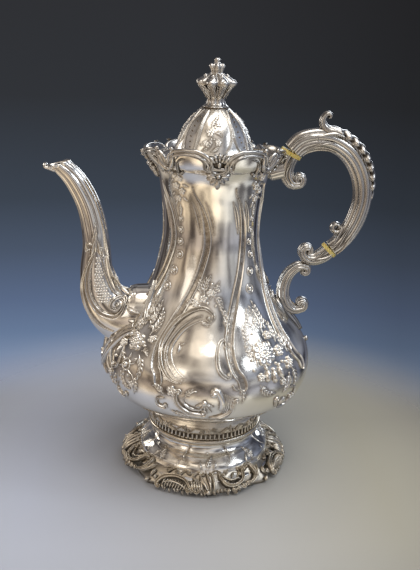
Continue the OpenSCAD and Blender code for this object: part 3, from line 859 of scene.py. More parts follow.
# %% Left-hand flower panel
rose_clay = Clay()
p = Patch(rose_clay, BODY, -55, 98)
p.flower((-52.5, 103.5), 6.4, 3.0, 6)
p.boss((-52.5, 90.2), 3.6)
for k in range(6):
    a = math.radians(60 * k + 20)
    x, y = p.at((-52.5, 90.2))[0]
    p.leaf_at(x + 3.6 * math.cos(a), y + 3.6 * math.sin(a), 60 * k + 20, 4.6, 1.3, 1.4, 20)
p.scroll([(-66, 84), (-71.5, 93), (-69, 104), (-61, 108.5)], 1.7, 2.6, 2.8, side=-1, turns=0.9)
p.scroll([(-60.5, 98), (-58.5, 92), (-60, 86), (-64, 83.5)], 1.1, 2.0, 1.8, side=-1)
p.flowers((-42, 107.5, 3.2, 2.2), (-60.5, 112.5, 3.0, 2.0), (-63, 99.5, 3.2, 2.2))
p.sprays((-46, 109, -43.5, 117, -45.5, 125, 5, 5.0), (-56, 110, -57.5, 118, -54, 126, 5, 5.0),
    (-46, 98, -42, 92, -42.5, 84, 4, 4.6), (-56, 84.5, -53, 78, -47.5, 75.5, 4, 4.4),
    (-66, 82, -68, 76, -65, 70.5, 4, 4.4))
p.scroll([(-58, 76), (-60.5, 70.5), (-56.5, 66.5), (-52, 68.5)], 1.0, 1.7, 1.6, side=1)
p.sprays((-50, 112, -50.5, 120, -49, 129, 5, 4.4), (-61, 116, -60.5, 124, -57, 131, 5, 4.4),
    (-46, 100, -43, 101, -39.8, 98.5, 3, 3.4), (-58.5, 104, -64, 106, -68, 110, 4, 3.8),
    (-47, 86, -43.5, 80, -45, 73.5, 4, 3.8), (-61, 80, -62.5, 74, -58.5, 70.5, 4, 3.8))
p.flowers((-50, 118, 2.6, 1.8), (-46.5, 79.5, 2.4, 1.6), (-67.5, 78.5, 2.6, 1.8))
for place in ((-46.8, 95), (-57.8, 95), (-48, 113.2), (-49.5, 84.4), (-45.3, 103.2), (-64, 91)):
    p.bead(place, 1.2, 1.5)
ring_of(rose_clay, "rose_panels_left", sheet_silver, 2)

# %% Drops of flowers and strings of bosses
drop_clay = Clay()
p = Patch(drop_clay, BODY, -41, 185)
for place, radius in (((-45, 213.5), 2.0), ((-38.5, 210), 2.4), ((-44, 204.5), 2.6), ((-37.2, 201.5), 2.4),
    ((-42.2, 196.4), 2.2)):
    p.flower(place, radius, 1.7, 5)
p.spray([(-41, 192.5), (-41, 188.5), (-41.2, 185.2)], 3, 2.8)
for place, angle in (((-41, 213), 250), ((-46.5, 208.5), 220), ((-36, 206), -30), ((-46.5, 200), 215),
    ((-36.5, 197.5), -45), ((-44.5, 194.5), 235)):
    p.leaf(place, angle, 4.2, 1.1, 1.2, 25)
for place, radius in (((-41.4, 183), 1.7), ((-41.9, 175.7), 1.9), ((-42.4, 167.7), 2.1),
    ((-41.3, 159.4), 2.3),
                      ((-45.7, 148.6), 2.6), ((-50.3, 138), 2.8)):
    p.boss(place, radius)
ring_of(drop_clay, "flower_drops", sheet_silver, 4)

# %% [markdown]
# ## The skin
#
# The skin is made after its ornament, because it borrows from it: wherever it is close to a
# scroll or a flower the cloth could not reach, so `depth` grows there and the silver stays dark.

# %% Body skin
def nearest_relief(pieces):
    points = []
    for piece in pieces:
        flat = np.empty(len(piece.data.vertices) * 3, np.float32)
        piece.data.vertices.foreach_get("co", flat)
        points.append(flat.reshape(-1, 3)[::2] / MM)
    points = np.vstack(points)
    tree = KDTree(len(points))
    for k, point in enumerate(points):
        tree.insert(point, k)
    tree.balance()
    return tree


def closed_skin(surface, columns, rows, relief, inner, s_range, near=None, halo=1.1):
    """A thin closed shell over a turned surface; relief(degrees, s) is its outside, in mm."""
    clay = Clay()
    a = np.linspace(0, 360, columns, endpoint=False)
    s = np.linspace(*s_range, rows)
    S, A = np.meshgrid(s, a, indexing="ij")
    B, A2 = np.meshgrid(np.linspace(s_range[1], s_range[0], rows // 3), a, indexing="ij")
    front, _ = surface.place(A, S, relief(A, S))
    rear, _ = surface.place(A2, B, np.full_like(B, inner))
    hollow = np.zeros(S.size)
    if near:
        gap = np.array([near.find(q)[2] for q in front.reshape(-1, 3)])
        hollow = 0.85 * np.exp(-(gap / halo) ** 2)
    clay.band(np.concatenate([front, rear]), np.concatenate([hollow, np.ones(B.size)]))
    return clay


def body_relief(a, s):
    z = np.interp(s, BODY.s, BODY.line[:, 1])
    across = ((a - RIB_STEP / 2 - sway(z)) / RIB_STEP) % 1.0
    swell = 0.8 * smoothstep(z, 80, 100) * (1 - smoothstep(z, 150, 185))
    flute = 0.3 * smoothstep(z, 150, 170) * (1 - smoothstep(z, 192, 206))
    mid = np.sin(np.pi * across)
    return SKIN_GAP + 0.22 + swell * mid ** 1.2 * 0.5 + flute * mid ** 2


near = nearest_relief([o for o in bpy.data.objects if o.name in ("body_ribs", "cartouches",
    "rose_panels_right", "rose_panels_left", "flower_drops")])
skin = closed_skin(BODY, 288, 230, body_relief, SKIN_GAP, (BODY.s_at(BASE_Z) + 0.6,
    BODY.s_at(TOP_Z - 1.5)), near)
add_piece(skin, "body_skin", sheet_silver)

# %% [markdown]
# ## Two more trees: mouldings and beads
#
# A wire moulding and a row of beads both follow a line. The first tree sweeps a round wire
# along the lines it is given; the second drops low-poly beads along them at an even spacing.
# Both take their lines as a mesh of plain edges, so one object can hold many lines.

# %% Geometry Nodes trees for wires and beads
wire_tree, gi, go, wire_ids = node_tree("Wire along lines", [("Radius", NUMBER, 0.001),
    ("Sides", COUNT, 10)])
t = wire_tree
lines = node(t, "GeometryNodeMeshToCurve", {"Mesh": gi.outputs["Geometry"]}).outputs[0]
section = node(t, "GeometryNodeCurvePrimitiveCircle",
               {"Resolution": gi.outputs["Sides"], "Radius": gi.outputs["Radius"]}).outputs[0]
swept = node(t, "GeometryNodeCurveToMesh",
    {"Curve": lines, "Profile Curve": section, "Fill Caps": True}).outputs[0]
finish_tree(t, node(t, "GeometryNodeSetShadeSmooth", {"Geometry": swept}).outputs[0],
    gi.outputs["Material"], go)

bead_tree, gi, go, bead_ids = node_tree("Beads along lines", [
    ("Spacing", NUMBER, 0.002), ("Bead radius", NUMBER, 0.0006)])
t = bead_tree
lines = node(t, "GeometryNodeMeshToCurve", {"Mesh": gi.outputs["Geometry"]}).outputs[0]
spots = node(t, "GeometryNodeResampleCurve", {"Curve": lines, "Length": gi.outputs["Spacing"]},
    mode="LENGTH").outputs[0]
bead = node(t, "GeometryNodeMeshIcoSphere", {"Radius": gi.outputs["Bead radius"],
    "Subdivisions": 2}).outputs[0]
beads = node(t, "GeometryNodeInstanceOnPoints", {"Points": spots, "Instance": bead}).outputs[0]
real = node(t, "GeometryNodeRealizeInstances", {"Geometry": beads}).outputs[0]
finish_tree(t, node(t, "GeometryNodeSetShadeSmooth", {"Geometry": real}).outputs[0],
    gi.outputs["Material"], go)


def along_lines(name, lines, tree, ids, settings, material, body="pot", closed=False):
    """lines: lists of points in mm. Runs a tree along them and returns the finished piece."""
    points, edges = [], []
    for line in lines:
        first = len(points)
        points += [tuple(p) for p in np.asarray(line) * MM]
        edges += [(k, k + 1) for k in range(first, len(points) - 1)]
        if closed:
            edges.append((len(points) - 1, first))
    mesh = bpy.data.meshes.new(name + "_lines")
    mesh.from_pydata(points, edges, [])
    guide = bpy.data.objects.new(name + "_lines", mesh)
    bpy.context.scene.collection.objects.link(guide)
    piece = grown(guide, tree, ids, {**settings, "Material": material}, name, material)
    return fitted(piece, body, ())


def on_surface(surface, points, out=0.0):
    """(degrees, height) points as points in space."""
    p = np.asarray(points, float)
    return surface.place(p[:, 0], surface.s_at(p[:, 1]), np.full(len(p), float(out)))[0]


# %% [markdown]
# ## The rim
#
# The rim is a casting soldered to the mouth: eight arches of thick double moulding over a thin
# collar, with a deep valley between each pair. Four valleys hold a fan of leaves above a hanging
# palmette; the four between them are a plain dipped lip over a drop of flowers.

# %% Collar of the rim
RIM = Turned([[33, 194], [35.2, 206], [38.4, 213], [42, 218], [44.0, 222.5], [45.1, 226], [45.9, 229.6],
    [46.4, 232]])


def arch_height(degrees):
    valley = np.abs((degrees + RIB_STEP / 2) % RIB_STEP - RIB_STEP / 2)
    fan = np.abs((degrees + 45) % 90 - 45) < 22.5
    lowest = np.where(fan, 218.0, 220.0)
    climb = np.clip((valley - np.where(fan, 5.0, 1.5)) / 14.5, 0, 1)
    arch = lowest + (228.9 - lowest) * np.sqrt(1 - (1 - climb) ** 2)
    return arch - 0.6 * smoothstep(np.abs(valley - 22.5), 3, 11) * climb


def settle_rim(piece):
    """The rim stands highest at the front and steps down towards the sides and the back."""
    for vertex in piece.data.vertices:
        x, y, z = (v / MM for v in vertex.co)
        if z > 216:
            front = max(0.0, min(1.0, (-y / math.hypot(x, y) + 0.1) / 0.95))
            top = 222.8 + 6.6 * front * front * (3 - 2 * front)
            vertex.co.z = (216 + (z - 216) * (top - 216) / 13.4) * MM
    return piece


rim = Clay()
around = np.linspace(0, 360, 480, endpoint=False)
rows = np.linspace(0, 1, 12)
top = RIM.s_at(arch_height(around))
low = RIM.s_at(213.4)
S = low + (top - low)[None, :] * rows[:, None]
A = np.broadcast_to(around, S.shape)
outside, _ = RIM.place(A, S, np.broadcast_to((-0.1 + 0.43 * smoothstep(rows, 0, 0.05))[:, None], S.shape))
inside, _ = RIM.place(A, S[::-1], np.full(S.shape, -0.55))
shadow = np.concatenate([0.85 * rows ** 5, np.full(12, 0.6)])[:, None] * np.ones(len(around))
rim.band(np.concatenate([outside, inside]), shadow)
settle_rim(add_piece(rim, "rim_collar", sheet_silver, replaces=["rim_border",
    "rim_shell_front", "rim_shell_back", "rim_shell_spout", "rim_shell_handle"]))

# %% Mouldings of the rim
a = np.linspace(0, 360, 720, endpoint=False)
crest = on_surface(RIM, np.stack([a, arch_height(a)], 1), 0.1)
settle_rim(along_lines("rim_crest", [crest], wire_tree, wire_ids, {"Radius": 1.15 * MM, "Sides": 12},
    cast_silver, closed=True))
line = np.stack([a, arch_height(a)], 1)
step = np.roll(line, -1, 0) - np.roll(line, 1, 0)
step[:, 0] = (step[:, 0] + 180) % 360 - 180
normal = np.stack([step[:, 1], -step[:, 0] * 0.78], 1)
normal *= 2.3 / np.linalg.norm(normal, axis=1)[:, None]
second = on_surface(RIM, line + normal * [1 / 0.78, 1], 0.7)
settle_rim(along_lines("rim_second_moulding", [second], wire_tree, wire_ids,
    {"Radius": 0.95 * MM, "Sides": 8}, cast_silver, closed=True))

# %% Ornament of one quarter of the rim
quarter = Clay()
p = Patch(quarter, RIM, 0, 219, lift=0.5)
for side in (-1, 1):
    # the arch rolls into a volute on each side of the valley
    p.scroll([(side * 23, 226.0), (side * 15.5, 225.4), (side * 11.8, 222.8), (side * 11.6, 219.6)], 1.3,
        1.8, 1.9, side=-side, turns=0.95)
    p.scroll([(side * 6.8, 226.5), (side * 6.0, 221.5), (side * 7.2, 218.2)], 1.1, 1.6, 1.5, side=side,
        turns=0.9)
    p.scroll([(side * 27, 223.4), (side * 32, 222.6), (side * 35.2, 219.0), (side * 35.8, 214.0)], 1.0,
        1.6, 1.6, side=-side)
    p.bead((side * 38.6, 212.6), 1.2, 1.6)
    p.line([(side * 24, 226.5), (side * 31, 225.9), (side * 35.2, 222.5)], [0.2, 0.8, 0.9, 0.3],
        [0.5, 1.2, 1.2, 0.5], profile_moulding, across=11)
# the fan of leaves in the valley and the bud under it
# a dark strip sunk behind the fan, forced to full depth: painted shade of the deep valley
p.lift = -1.2
p.line([(0, 217.4), (0, 220), (0, 222.4)], [3.8, 4.4, 3.2], 0.5, shade=1.0)
p.lift = 0.0
for k in (-1, 1, -0.5, 0.5, 0):
    p.bead((k * 5.0, 225.6 - 1.3 * abs(k)), 1.05, 2.4, stretch=2.9, turn=90 - k * 44)
p.bead((0, 221.6), 1.5, 3.2, stretch=1.5, turn=90)
p.lift = 0.6
p.moulding([(-7.5, 219.2), (-4.5, 216.8), (0, 216.0), (4.5, 216.8), (7.5, 219.2)],
    [0.5, 1.2, 1.35, 1.2, 0.5], [0.8, 1.9, 2.1, 1.9, 0.8])
# the hanging palmette, its leaves laid from the sides to the middle
for angle, length, width in ((86, 3.2, 1.6), (58, 3.6, 1.7), (30, 4.0, 1.8), (0, 5.2, 2.0)):
    for side in ((-1, 1) if angle else (1,)):
        a = math.radians(angle * side)
        reach = length + 1.4
        place = (reach * math.sin(a) / 0.72, 215.6 - reach * math.cos(a))
        p.bead(place, width, 2.6, stretch=length / width, turn=-90 + angle * side)
        p.line([(place[0] * 0.4, 215.6 - 0.4 * reach * math.cos(a)),
            (place[0] * 1.35, 215.6 - 1.35 * reach * math.cos(a))], [0.45, 0.4, 0.15], [3.2, 3.1, 1.4])
p.bead((0, 215.2), 1.7, 3.6)
settle_rim(ring_of(quarter, "rim_ornament", cast_silver, 4))

# the dipped lips of the four plain valleys
quarter = Clay()
p = Patch(quarter, RIM, 45, 219, lift=0.5)
p.line([(37.2, 226.5), (38.2, 221.6), (41, 218.0), (45, 216.8), (49, 218.0), (51.8, 221.6), (52.8, 226.5)],
       [0.6, 1.3, 1.7, 1.8, 1.7, 1.3, 0.6], [1.0, 2.0, 2.5, 2.6, 2.5, 2.0, 1.0], profile_round, across=13)
p.scroll([(41.5, 221.2), (42.5, 219.2), (45, 218.8)], 0.6, 1.2, 1.0, side=1)
p.bead((45, 213.8), 1.8, 2.2)
for side in (-1, 1):
    p.leaf((45 + side * 2, 214), -90 + side * 70, 5.5, 1.2, 1.5, side * 40)
    p.bead((45 + side * 7.6, 229.2), 1.5, 1.8)
settle_rim(ring_of(quarter, "rim_dips", cast_silver, 4))

# %% [markdown]
# ## The lid
#
# The dome is raised and chased like the body. Four low mouldings sweep over each quarter; one of
# the panels between them carries flowers and leaves, another a row of punched dots.

# %% Dome of the lid
LID = Turned([[25.4, 223.4], [23.9, 226.4], [22.4, 230.4], [20.4, 235.4], [17.4, 240.4], [13.6, 244.8],
    [8.3, 249.6]])


def lid_sweep(z, foot, head):
    """Degrees of a thread that starts at foot and ends at head, with a slow S between."""
    q = np.clip((z - 224) / 25, 0, 1)
    return foot + (head - foot) * (q + 0.12 * np.sin(2 * np.pi * q))


lid_relief = Clay()
p = Patch(lid_relief, LID, 0, 236, lift=0.2)
heights = np.linspace(224.6, 248.6, 26)
for foot, head in ((-35, -26), (12, 40), (-53, -70), (54, 62)):
    p.line(np.stack([lid_sweep(heights, foot, head), heights], 1), [0.4, 0.95, 1.0, 0.85, 0.5],
        [0.4, 0.75, 0.75, 0.6, 0.4], profile_moulding, across=13, steps=50, curved=False)
p.flowers((-12, 236, 2.6, 0.7), (2, 230.5, 2.2, 0.7), (-18, 230, 1.9, 0.7), (4, 241, 1.9, 0.7))
p.sprays((-12, 239, -4, 243, 6, 246, 4, 2.6), (-9, 233, -14, 228, -22, 225.6, 4, 2.8),
    (2, 228, -4, 226, -9, 225.4, 3, 2.4), (-3, 236, 3, 236, 8, 234, 3, 2.4), height=0.5)
for place in ((-19, 237), (-4, 239), (-5, 232.5), (-25, 229)):
    p.bead(place, 0.6, 0.5)
threads = ring_of(lid_relief, "lid_ornament", lid_silver, 4, body="lid")

# the punched dots are dark beads: their darkness is painted shade of the holes
dots = []
for turn in (0, 90, 180, 270):
    row = np.linspace(227, 247, 12)
    dots.append(on_surface(LID, np.stack([turn - 43.5 - 5 * np.sin((row - 227) / 6), row], 1), 0.3))
along_lines("lid_dots", dots, bead_tree, bead_ids, {"Spacing": 3.3 * MM, "Bead radius": 0.52 * MM},
    joint_tarnish_and_hole_shade_silver, body="lid")
joint = [[8.75 * math.sin(b), -8.75 * math.cos(b),
    249.75] for b in np.linspace(0, 2 * math.pi, 48, endpoint=False)]
along_lines("finial_joint", [joint], wire_tree, wire_ids, {"Radius": 0.3 * MM, "Sides": 6},
    joint_tarnish_and_hole_shade_silver, body="lid", closed=True)


def lid_skin_relief(a, s):
    z = np.interp(s, LID.s, LID.line[:, 1])
    across = ((a - lid_sweep(z, -11, 6)) / 45) % 1.0
    swell = 0.35 * np.sin(np.pi * across) ** 1.3 * smoothstep(z, 223, 228)
    return 0.12 + swell * (1 - smoothstep(z, 243, 249))


near = nearest_relief([threads])
skin = closed_skin(LID, 224, 90, lid_skin_relief, 0.04, (LID.s_at(223.7), LID.s[-1] - 0.3), near, 0.9)
add_piece(skin, "lid_skin", lid_silver, body="lid")

# %% [markdown]
# ## The finial
#
# A cast crown stands on the dome: a fluted waist opens into eight rounded lobes, closes again
# under a ring of small buds and ends in a tip. Each level is a turned form whose radius swells
# and sinks around the axis.

# %% Finial
def lobed_form(clay, outline, lobes, amount, columns=96, rows=60, phase=0.0, depth=0.7, power=0.7, dark=()):
    """A turned solid, fully dark between the two heights in dark, as painted shade; amount(z) is how far
    its lobes stand out.
    """
    line = evenly(smooth_line(outline, 8), rows)
    a = np.linspace(0, 360, columns, endpoint=False)
    wave = np.abs(np.cos(np.radians(a - phase) * lobes / 2)) ** power
    swell = np.array([amount(z) for z in line[:, 1]])
    r = line[:, :1] + swell[:, None] * (wave[None, :] - 0.5)
    A = np.radians(a)[None, :]
    rings = np.stack([r * np.sin(A), -r * np.cos(A), np.broadcast_to(line[:, 1:], r.shape)], -1)
    hollow = np.clip(depth * (1 - wave[None, :]) * np.minimum(swell[:, None], 1), 0, 1)
    if dark:
        hollow = np.maximum(hollow,
            (np.abs(line[:, 1:] - sum(dark) / 2) < (dark[1] - dark[0]) / 2).astype(float))
    clay.tube(rings, np.broadcast_to(hollow, r.shape).copy())


def add_buds(clay, count, first, radius, outline, amount, columns, rows):
    """A ring of small lobed buds, the first of them at an angle of first degrees."""
    for k in range(count):
        a = math.radians(first + 360 / count * k)
        bud = Clay()
        lobed_form(bud, outline, 4, lambda z: amount, columns=columns, rows=rows)
        clay.add_clay(bud, [radius * math.sin(a), -radius * math.cos(a), 0])


crown = Clay()
lobed_form(crown, [[7.4, 249.6], [8.1, 250.1], [7.6, 250.8], [6.6, 251.6], [5.8, 253.2], [5.7, 255.2],
    [6.6, 257.4], [8.4, 260.2], [10.4, 262.6], [11.5, 264.6], [11.2, 266.0], [9.4, 267.6], [7.0, 269.0],
    [5.0, 270.0], [4.0, 270.8]], 8, lambda z: 0.6 + 2.2 * math.exp(-((z - 264.8) / 4.5) ** 2), phase=22.5,
    power=1.0)
lobed_form(crown, [[4.0, 270.2], [3.6, 271.2], [4.1, 272.6], [4.5, 274.0], [3.9, 275.6], [2.6, 276.6],
    [1.6, 277.4], [2.0, 278.2], [1.7, 279.2], [0.9, 279.9]], 6, lambda z: 0.9 if z < 276 else 0.2, rows=40,
    columns=72)
CUP = Turned([[5.7, 255.2], [6.6, 257.4], [8.4, 260.2], [10.4, 262.6], [11.5, 264.6]])
p = Patch(crown, CUP, 0, 258, lift=0.4)
for k in range(8):
    p.line([(45 * k, 254.5), (45 * k, 258.5), (45 * k, 263.2)], [0.2, 0.5, 0.6, 0.2], [0.2, 0.4, 0.3])
add_buds(crown, 8, 22.5, 10.7, [[0.1, 262.8], [1.9, 263.4], [2.6, 264.9], [2.0, 266.4], [0.1, 267.2]], 0.1,
    20, 14)
add_buds(crown, 6, 0, 4.1, [[0.1, 273.2], [0.9, 273.6], [1.35, 274.6], [0.95, 275.8], [0.1, 276.5]], 0.05,
    14, 10)
add_buds(crown, 8, 22.5, 7.4, [[0.1, 266.9], [0.9, 267.3], [1.2, 268.3], [0.8, 269.5], [0.1, 270.1]], 0.05,
    14, 10)
add_piece(crown, "finial", cast_silver, body="lid",
    replaces=["finial_base", "finial_cup", "finial_crown"])

# %% [markdown]
# ## The foot
#
# Below the body a narrow chased band stands over a ring of upright reeds and a plain bead. The
# foot then spreads in a low dome, cut by eight slits, down to a broad cast border of scrolls and
# shells. One quarter of the border is modelled and the ring tree repeats it four times.

# %% Neck of the foot
COLLAR = Turned([[33.8, 27], [37.2, 27.4], [39.2, 28.8], [40, 31], [38.8, 33], [38.8, 36], [40.2, 37.4],
    [40.4, 40], [39.6, 42.4], [37.2, 44.2]])
band = Clay()
# the recess behind the reeds, from 32.4 to 36.4 mm, is made fully dark: painted shade
lobed_form(band, [[34, 26.6], [37.2, 26.8], [39.4, 28.4], [40.3, 30.4], [39.7, 31.9], [38.1, 32.5],
    [38.0, 36.2], [38.9, 36.6], [39.9, 37.6], [40.1, 39.8], [39.7, 41.9], [38.6, 43.4], [37.4, 44.6],
    [34, 44.9]], 8, lambda z: 0.2 if z > 36.8 else 0.0, columns=192, rows=90, depth=0.2, dark=(32.4, 36.4))
add_piece(band, "foot_neck", border_silver, replaces=["foot_collar"])
reeds = Clay()
p = Patch(reeds, COLLAR, 0, 34.5, lift=-0.4)
for k in np.linspace(-20.25, 20.25, 10):
    p.line([(k, 32.6), (k, 34.4), (k, 36.2)], [0.75, 0.8, 0.75], [0.9, 1.0, 0.9], across=7, steps=8)
p.lift = -0.1
p.scroll([(-18, 38.4), (-12, 41.6), (-5, 40.2)], 0.8, 1.3, 1.3, side=-1, both=(1.2, -1))
p.scroll([(19, 41.6), (12, 38.3), (5, 39.8)], 0.8, 1.3, 1.3, side=-1, both=(1.2, -1))
p.flower((0, 40), 2.1, 1.4, 5)
for k in (-22.5, 22.5):
    p.leaf((k, 38), 90, 5, 1.0, 1.1)
p.leaves((-9, 38.6, 20, 3.6, 0.8, 0.9), (9, 41.4, 200, 3.6, 0.8, 0.9))
ring_of(reeds, "foot_reeds", border_silver, 8)

# %% Dome of the foot
FOOT = Turned([[51.5, 7.4], [46.9, 10.4], [44.6, 14.6], [40.6, 18], [36.4, 20.6], [34.8, 24], [34.9, 27.2]])
slit_clay = Clay()
p = Patch(slit_clay, FOOT, 0, 18, lift=0.3)
for side in (-1, 1):
    p.line([(side * 19.5, 25.4), (side * 22.4, 21.5), (side * 22.6, 17.5), (side * 17.5, 14.2)],
        [0.1, 0.5, 0.6, 0.5, 0.1], [0.3, 0.7, 0.8, 0.6], steps=40)
    # the slit itself is a thin line forced to full depth: painted shade in the groove
    p.line([(side * 17.6, 25.2), (side * 20.4, 21.5), (side * 20.4, 17.8), (side * 16.2, 15.0)],
        [0.1, 0.7, 0.8, 0.6, 0.1], [0.1, 0.25, 0.25, 0.1], steps=40, shade=1.0)
    p.leaves((side * 5, 13.5, 90 - side * 30, 6, 1.3, 1.0, side * 40),
        (side * 27, 14.0, 90 + side * 20, 5, 1.0, 0.8, side * 30))
p.spray([(0, 13), (1, 16.5), (5, 19.5)], 3, 3.6, 0.8)
p.bead((0, 20.5), 0.8, 0.8)
slits = ring_of(slit_clay, "foot_slits", sheet_silver, 4)
slit_clay = Clay()
p = Patch(slit_clay, FOOT, 45, 18, lift=0.3)
p.spray([(45, 13), (45, 17), (41, 20.5)], 3, 4.0, 0.8)
p.scroll([(37, 13.4), (40, 17), (46, 17.4)], 0.8, 1.1, 1.3, side=-1)
slits_two = ring_of(slit_clay, "foot_sprays", sheet_silver, 4)


def foot_relief(a, s):
    z = np.interp(s, FOOT.s, FOOT.line[:, 1])
    swell = 0.55 * np.abs(np.cos(np.radians(a) * 4 + np.pi / 2)) * smoothstep(z, 9, 14)
    return 0.2 + swell * (1 - smoothstep(z, 19, 25))


near = nearest_relief([slits, slits_two])
skin = closed_skin(FOOT, 224, 60, foot_relief, 0.05, (0.2, FOOT.s[-1] - 0.2), near, 0.9)
add_piece(skin, "foot_skin", sheet_silver)

# %% Bed of the cast border
BORDER = Turned([[58.6, 1.3], [57.6, 3.6], [55.2, 6.2], [51.8, 8.6], [48.0, 10.6], [45.6, 12.4],
    [44.4, 14.6]])


def border_edge(degrees):
    """Radius of the scalloped edge: long points at each 45 degrees, small bays between."""
    from_tip = np.abs((degrees + 22.5) % 45 - 22.5) / 22.5
    return 57.2 - 5.4 * from_tip ** 0.8 + 0.7 * np.cos(np.radians(degrees * 24)) * from_tip


bed = Clay()
a = np.linspace(0, 360, 432, endpoint=False)
edge = border_edge(a)
q = np.linspace(0, 1, 16)[:, None]
r = 46.6 + (edge - 46.6)[None, :] * q
z = 11.3 - 8.9 * q ** 1.35 + 0.35 * np.sin(np.radians(a * 32))[None, :] * q
A = np.radians(a)[None, :]


def ring_points(r, z):
    return np.stack([r * np.sin(A), -r * np.cos(A), z], -1)


upper = ring_points(r, z)
lower = ring_points(r[::-1] - 0.2, np.maximum(z[::-1] - 2.2, 0.35))
bed.band(np.concatenate([upper, lower]), np.full(2 * upper.shape[0] * upper.shape[1], 0.55))
add_piece(bed, "foot_border_bed", border_silver, replaces=["foot_border"])

# %% One quarter of the border
quarter = Clay()
p = Patch(quarter, BORDER, 0, 7, lift=0.1)
# the point at the front: a knob, two plumes and a leaf on each side
p.bead((0, 3.6), 1.8, 2.2)
p.line([(-6.5, 13.2), (-5.2, 9.5), (-1.6, 6.0), (0.3, 3.6)], [0.3, 1.1, 1.3, 1.0, 0.3],
    [0.8, 2.2, 2.6, 1.8])
p.line([(-1.8, 13.0), (-0.2, 9.8), (1.4, 6.8), (1.6, 4.2)], [0.3, 1.0, 1.2, 0.9, 0.3], [0.8, 2.0, 2.4, 1.6])
p.line([(2.2, 12), (3.8, 9.4), (4.4, 6.4), (3.6, 3.9)], [0.3, 0.9, 1.0, 0.8, 0.3], [0.8, 1.8, 2.0, 1.2])
for k, place in enumerate(((3.4, 4.6), (5.8, 5.0), (8.2, 5.2), (10.8, 5.0))):
    p.leaf(place, -72 + 6 * k, 4.2 - 0.3 * k, 1.1, 1.8, 20)
# the ridged shell
for k in range(5):
    p.line([(-5.2 - 1.5 * k, 9.6 - 0.2 * k), (-4.6 - 1.7 * k, 6.6), (-3.2 - 1.7 * k, 4.0)],
        [0.3, 0.8, 0.95, 0.5], [0.7, 1.8, 2.0, 1.0])
p.scroll([(-3.6, 6.4), (-7.2, 3.4), (-11.0, 4.4)], 1.0, 2.2, 1.5, side=-1)
# the hatched scroll
p.scroll([(-12.6, 5.2), (-17, 8.2), (-25, 9.0), (-33, 7.8), (-36.6, 4.8)], 1.5, 2.8, 1.9, side=1,
    turns=1.0, both=(1.9, -1))
p.line([(-14.5, 4.2), (-20, 6.3), (-27, 6.7), (-33, 5.2)], [0.3, 0.8, 0.9, 0.3], [0.7, 1.6, 1.8, 0.7])
for k in range(9):
    p.line([(-15.5 - 2.0 * k, 7.6 + 0.4 * math.sin(k * 0.4)), (-16.3 - 2.0 * k, 5.0),
        (-17.6 - 1.8 * k, 3.6)], [0.15, 0.5, 0.3], [0.4, 1.3, 0.6], steps=8)
p.line([(-13, 11.4), (-22, 12.6), (-31, 12.2), (-38, 10.8)], [0.2, 0.8, 0.9, 0.8, 0.2],
    [0.5, 1.5, 1.6, 0.6], profile_moulding)
# the crescent with leaves under it
p.scroll([(9.5, 9.4), (13, 6.6), (20, 5.8), (27, 8.0), (29.6, 11.6)], 1.5, 2.8, 1.7, side=1, turns=1.0,
    both=(1.6, -1))
p.line([(12.0, 9.8), (17, 8.2), (23, 8.6), (27, 11.4)], [0.3, 0.8, 0.8, 0.3], [0.6, 1.5, 1.5, 0.6])
for k in range(5):
    p.leaf((13.5 + 3.6 * k, 4.8 + 0.3 * k), -75 + 12 * k, 4.6, 1.3, 1.8, -25)
    p.bead((14.8 + 3.6 * k, 3.8 + 0.2 * k), 0.8, 0.9)
# the ring volute and the second point
p.scroll([(28.5, 6.2), (33, 5.4), (38.6, 8.0), (38.2, 12.2)], 1.4, 2.8, 2.9, side=1, turns=0.95)
p.bead((45, 3.6), 1.7, 2.0)
p.leaves((45, 10.5, -90, 8, 2.0, 2.4, 0), (42.6, 9.0, -105, 6.5, 1.4, 2.2, -30),
    (47.6, 9.0, -75, 6.5, 1.4, 2.2, 30), (40.0, 7.4, -120, 5.2, 1.2, 1.9, -30),
    (50.0, 7.4, -60, 5.2, 1.2, 1.9, 30))
p.scroll([(51.5, 13.0), (45, 13.8), (39.5, 13.4)], 0.8, 1.4, 1.2, side=1)
# small leaves and scrolls that fill the gaps and break up the edge
for k in range(13):
    p.leaf((-36 + 3.1 * k, 3.9 + 0.5 * math.sin(1.7 * k)), -90 + 24 * math.sin(2.1 * k), 3.0, 1.0, 1.1, 20)
for k in range(9):
    p.leaf((10 + 4.1 * k, 11.6 + 1.2 * math.sin(1.3 * k)), 250 + 40 * math.sin(1.9 * k), 4.4, 1.1, 1.5, 30)
for x, y, side in ((-19, 10.6, 1), (-28.5, 10.8, -1), (-8, 10.4, 1), (6.6, 11.6, -1), (22, 3.9, 1),
    (34.5, 12.6, -1)):
    p.scroll([(x - 3.4, y - 0.8), (x, y + 0.9), (x + 3.4, y)], 0.8, 1.6, 1.2, side=side, both=(1.0, side))
ring_of(quarter, "foot_border_scrolls", border_silver, 4)

# %% [markdown]
# ## Scrolled pipes
#
# Handle, sockets and bracket are hollow castings whose section stays an oval with lengthwise
# reeds, and whose ends roll up into volutes. `curled` continues a pipe's centreline into such a
# roll, and `reeded_pipe` skins it, with each end rounded off.

# %% Curled and reeded pipes
def curled(stations, radius, turns, side, end=0.45, width=1.0):
    """Adds a roll to the end of a list of (x, z, half depth, half width)."""
    s = np.asarray(stations, float)
    d = s[-1, :2] - s[-2, :2]
    d /= np.linalg.norm(d)
    n = np.array([-d[1], d[0]]) * side
    centre = s[-1, :2] + n * radius
    t = np.linspace(0, 1, int(10 * turns) + 4)[1:]
    a = math.atan2(-n[1], -n[0]) + side * 2 * math.pi * turns * t
    r = radius * (1 - 0.72 * t)
    roll = np.stack([centre[0] + r * np.cos(a), centre[1] + r * np.sin(a),
                     s[-1, 2] * (1 - (1 - end) * t), s[-1, 3] * (1 + (width - 1) * t)], 1)
    return np.vstack([s, roll]).tolist()


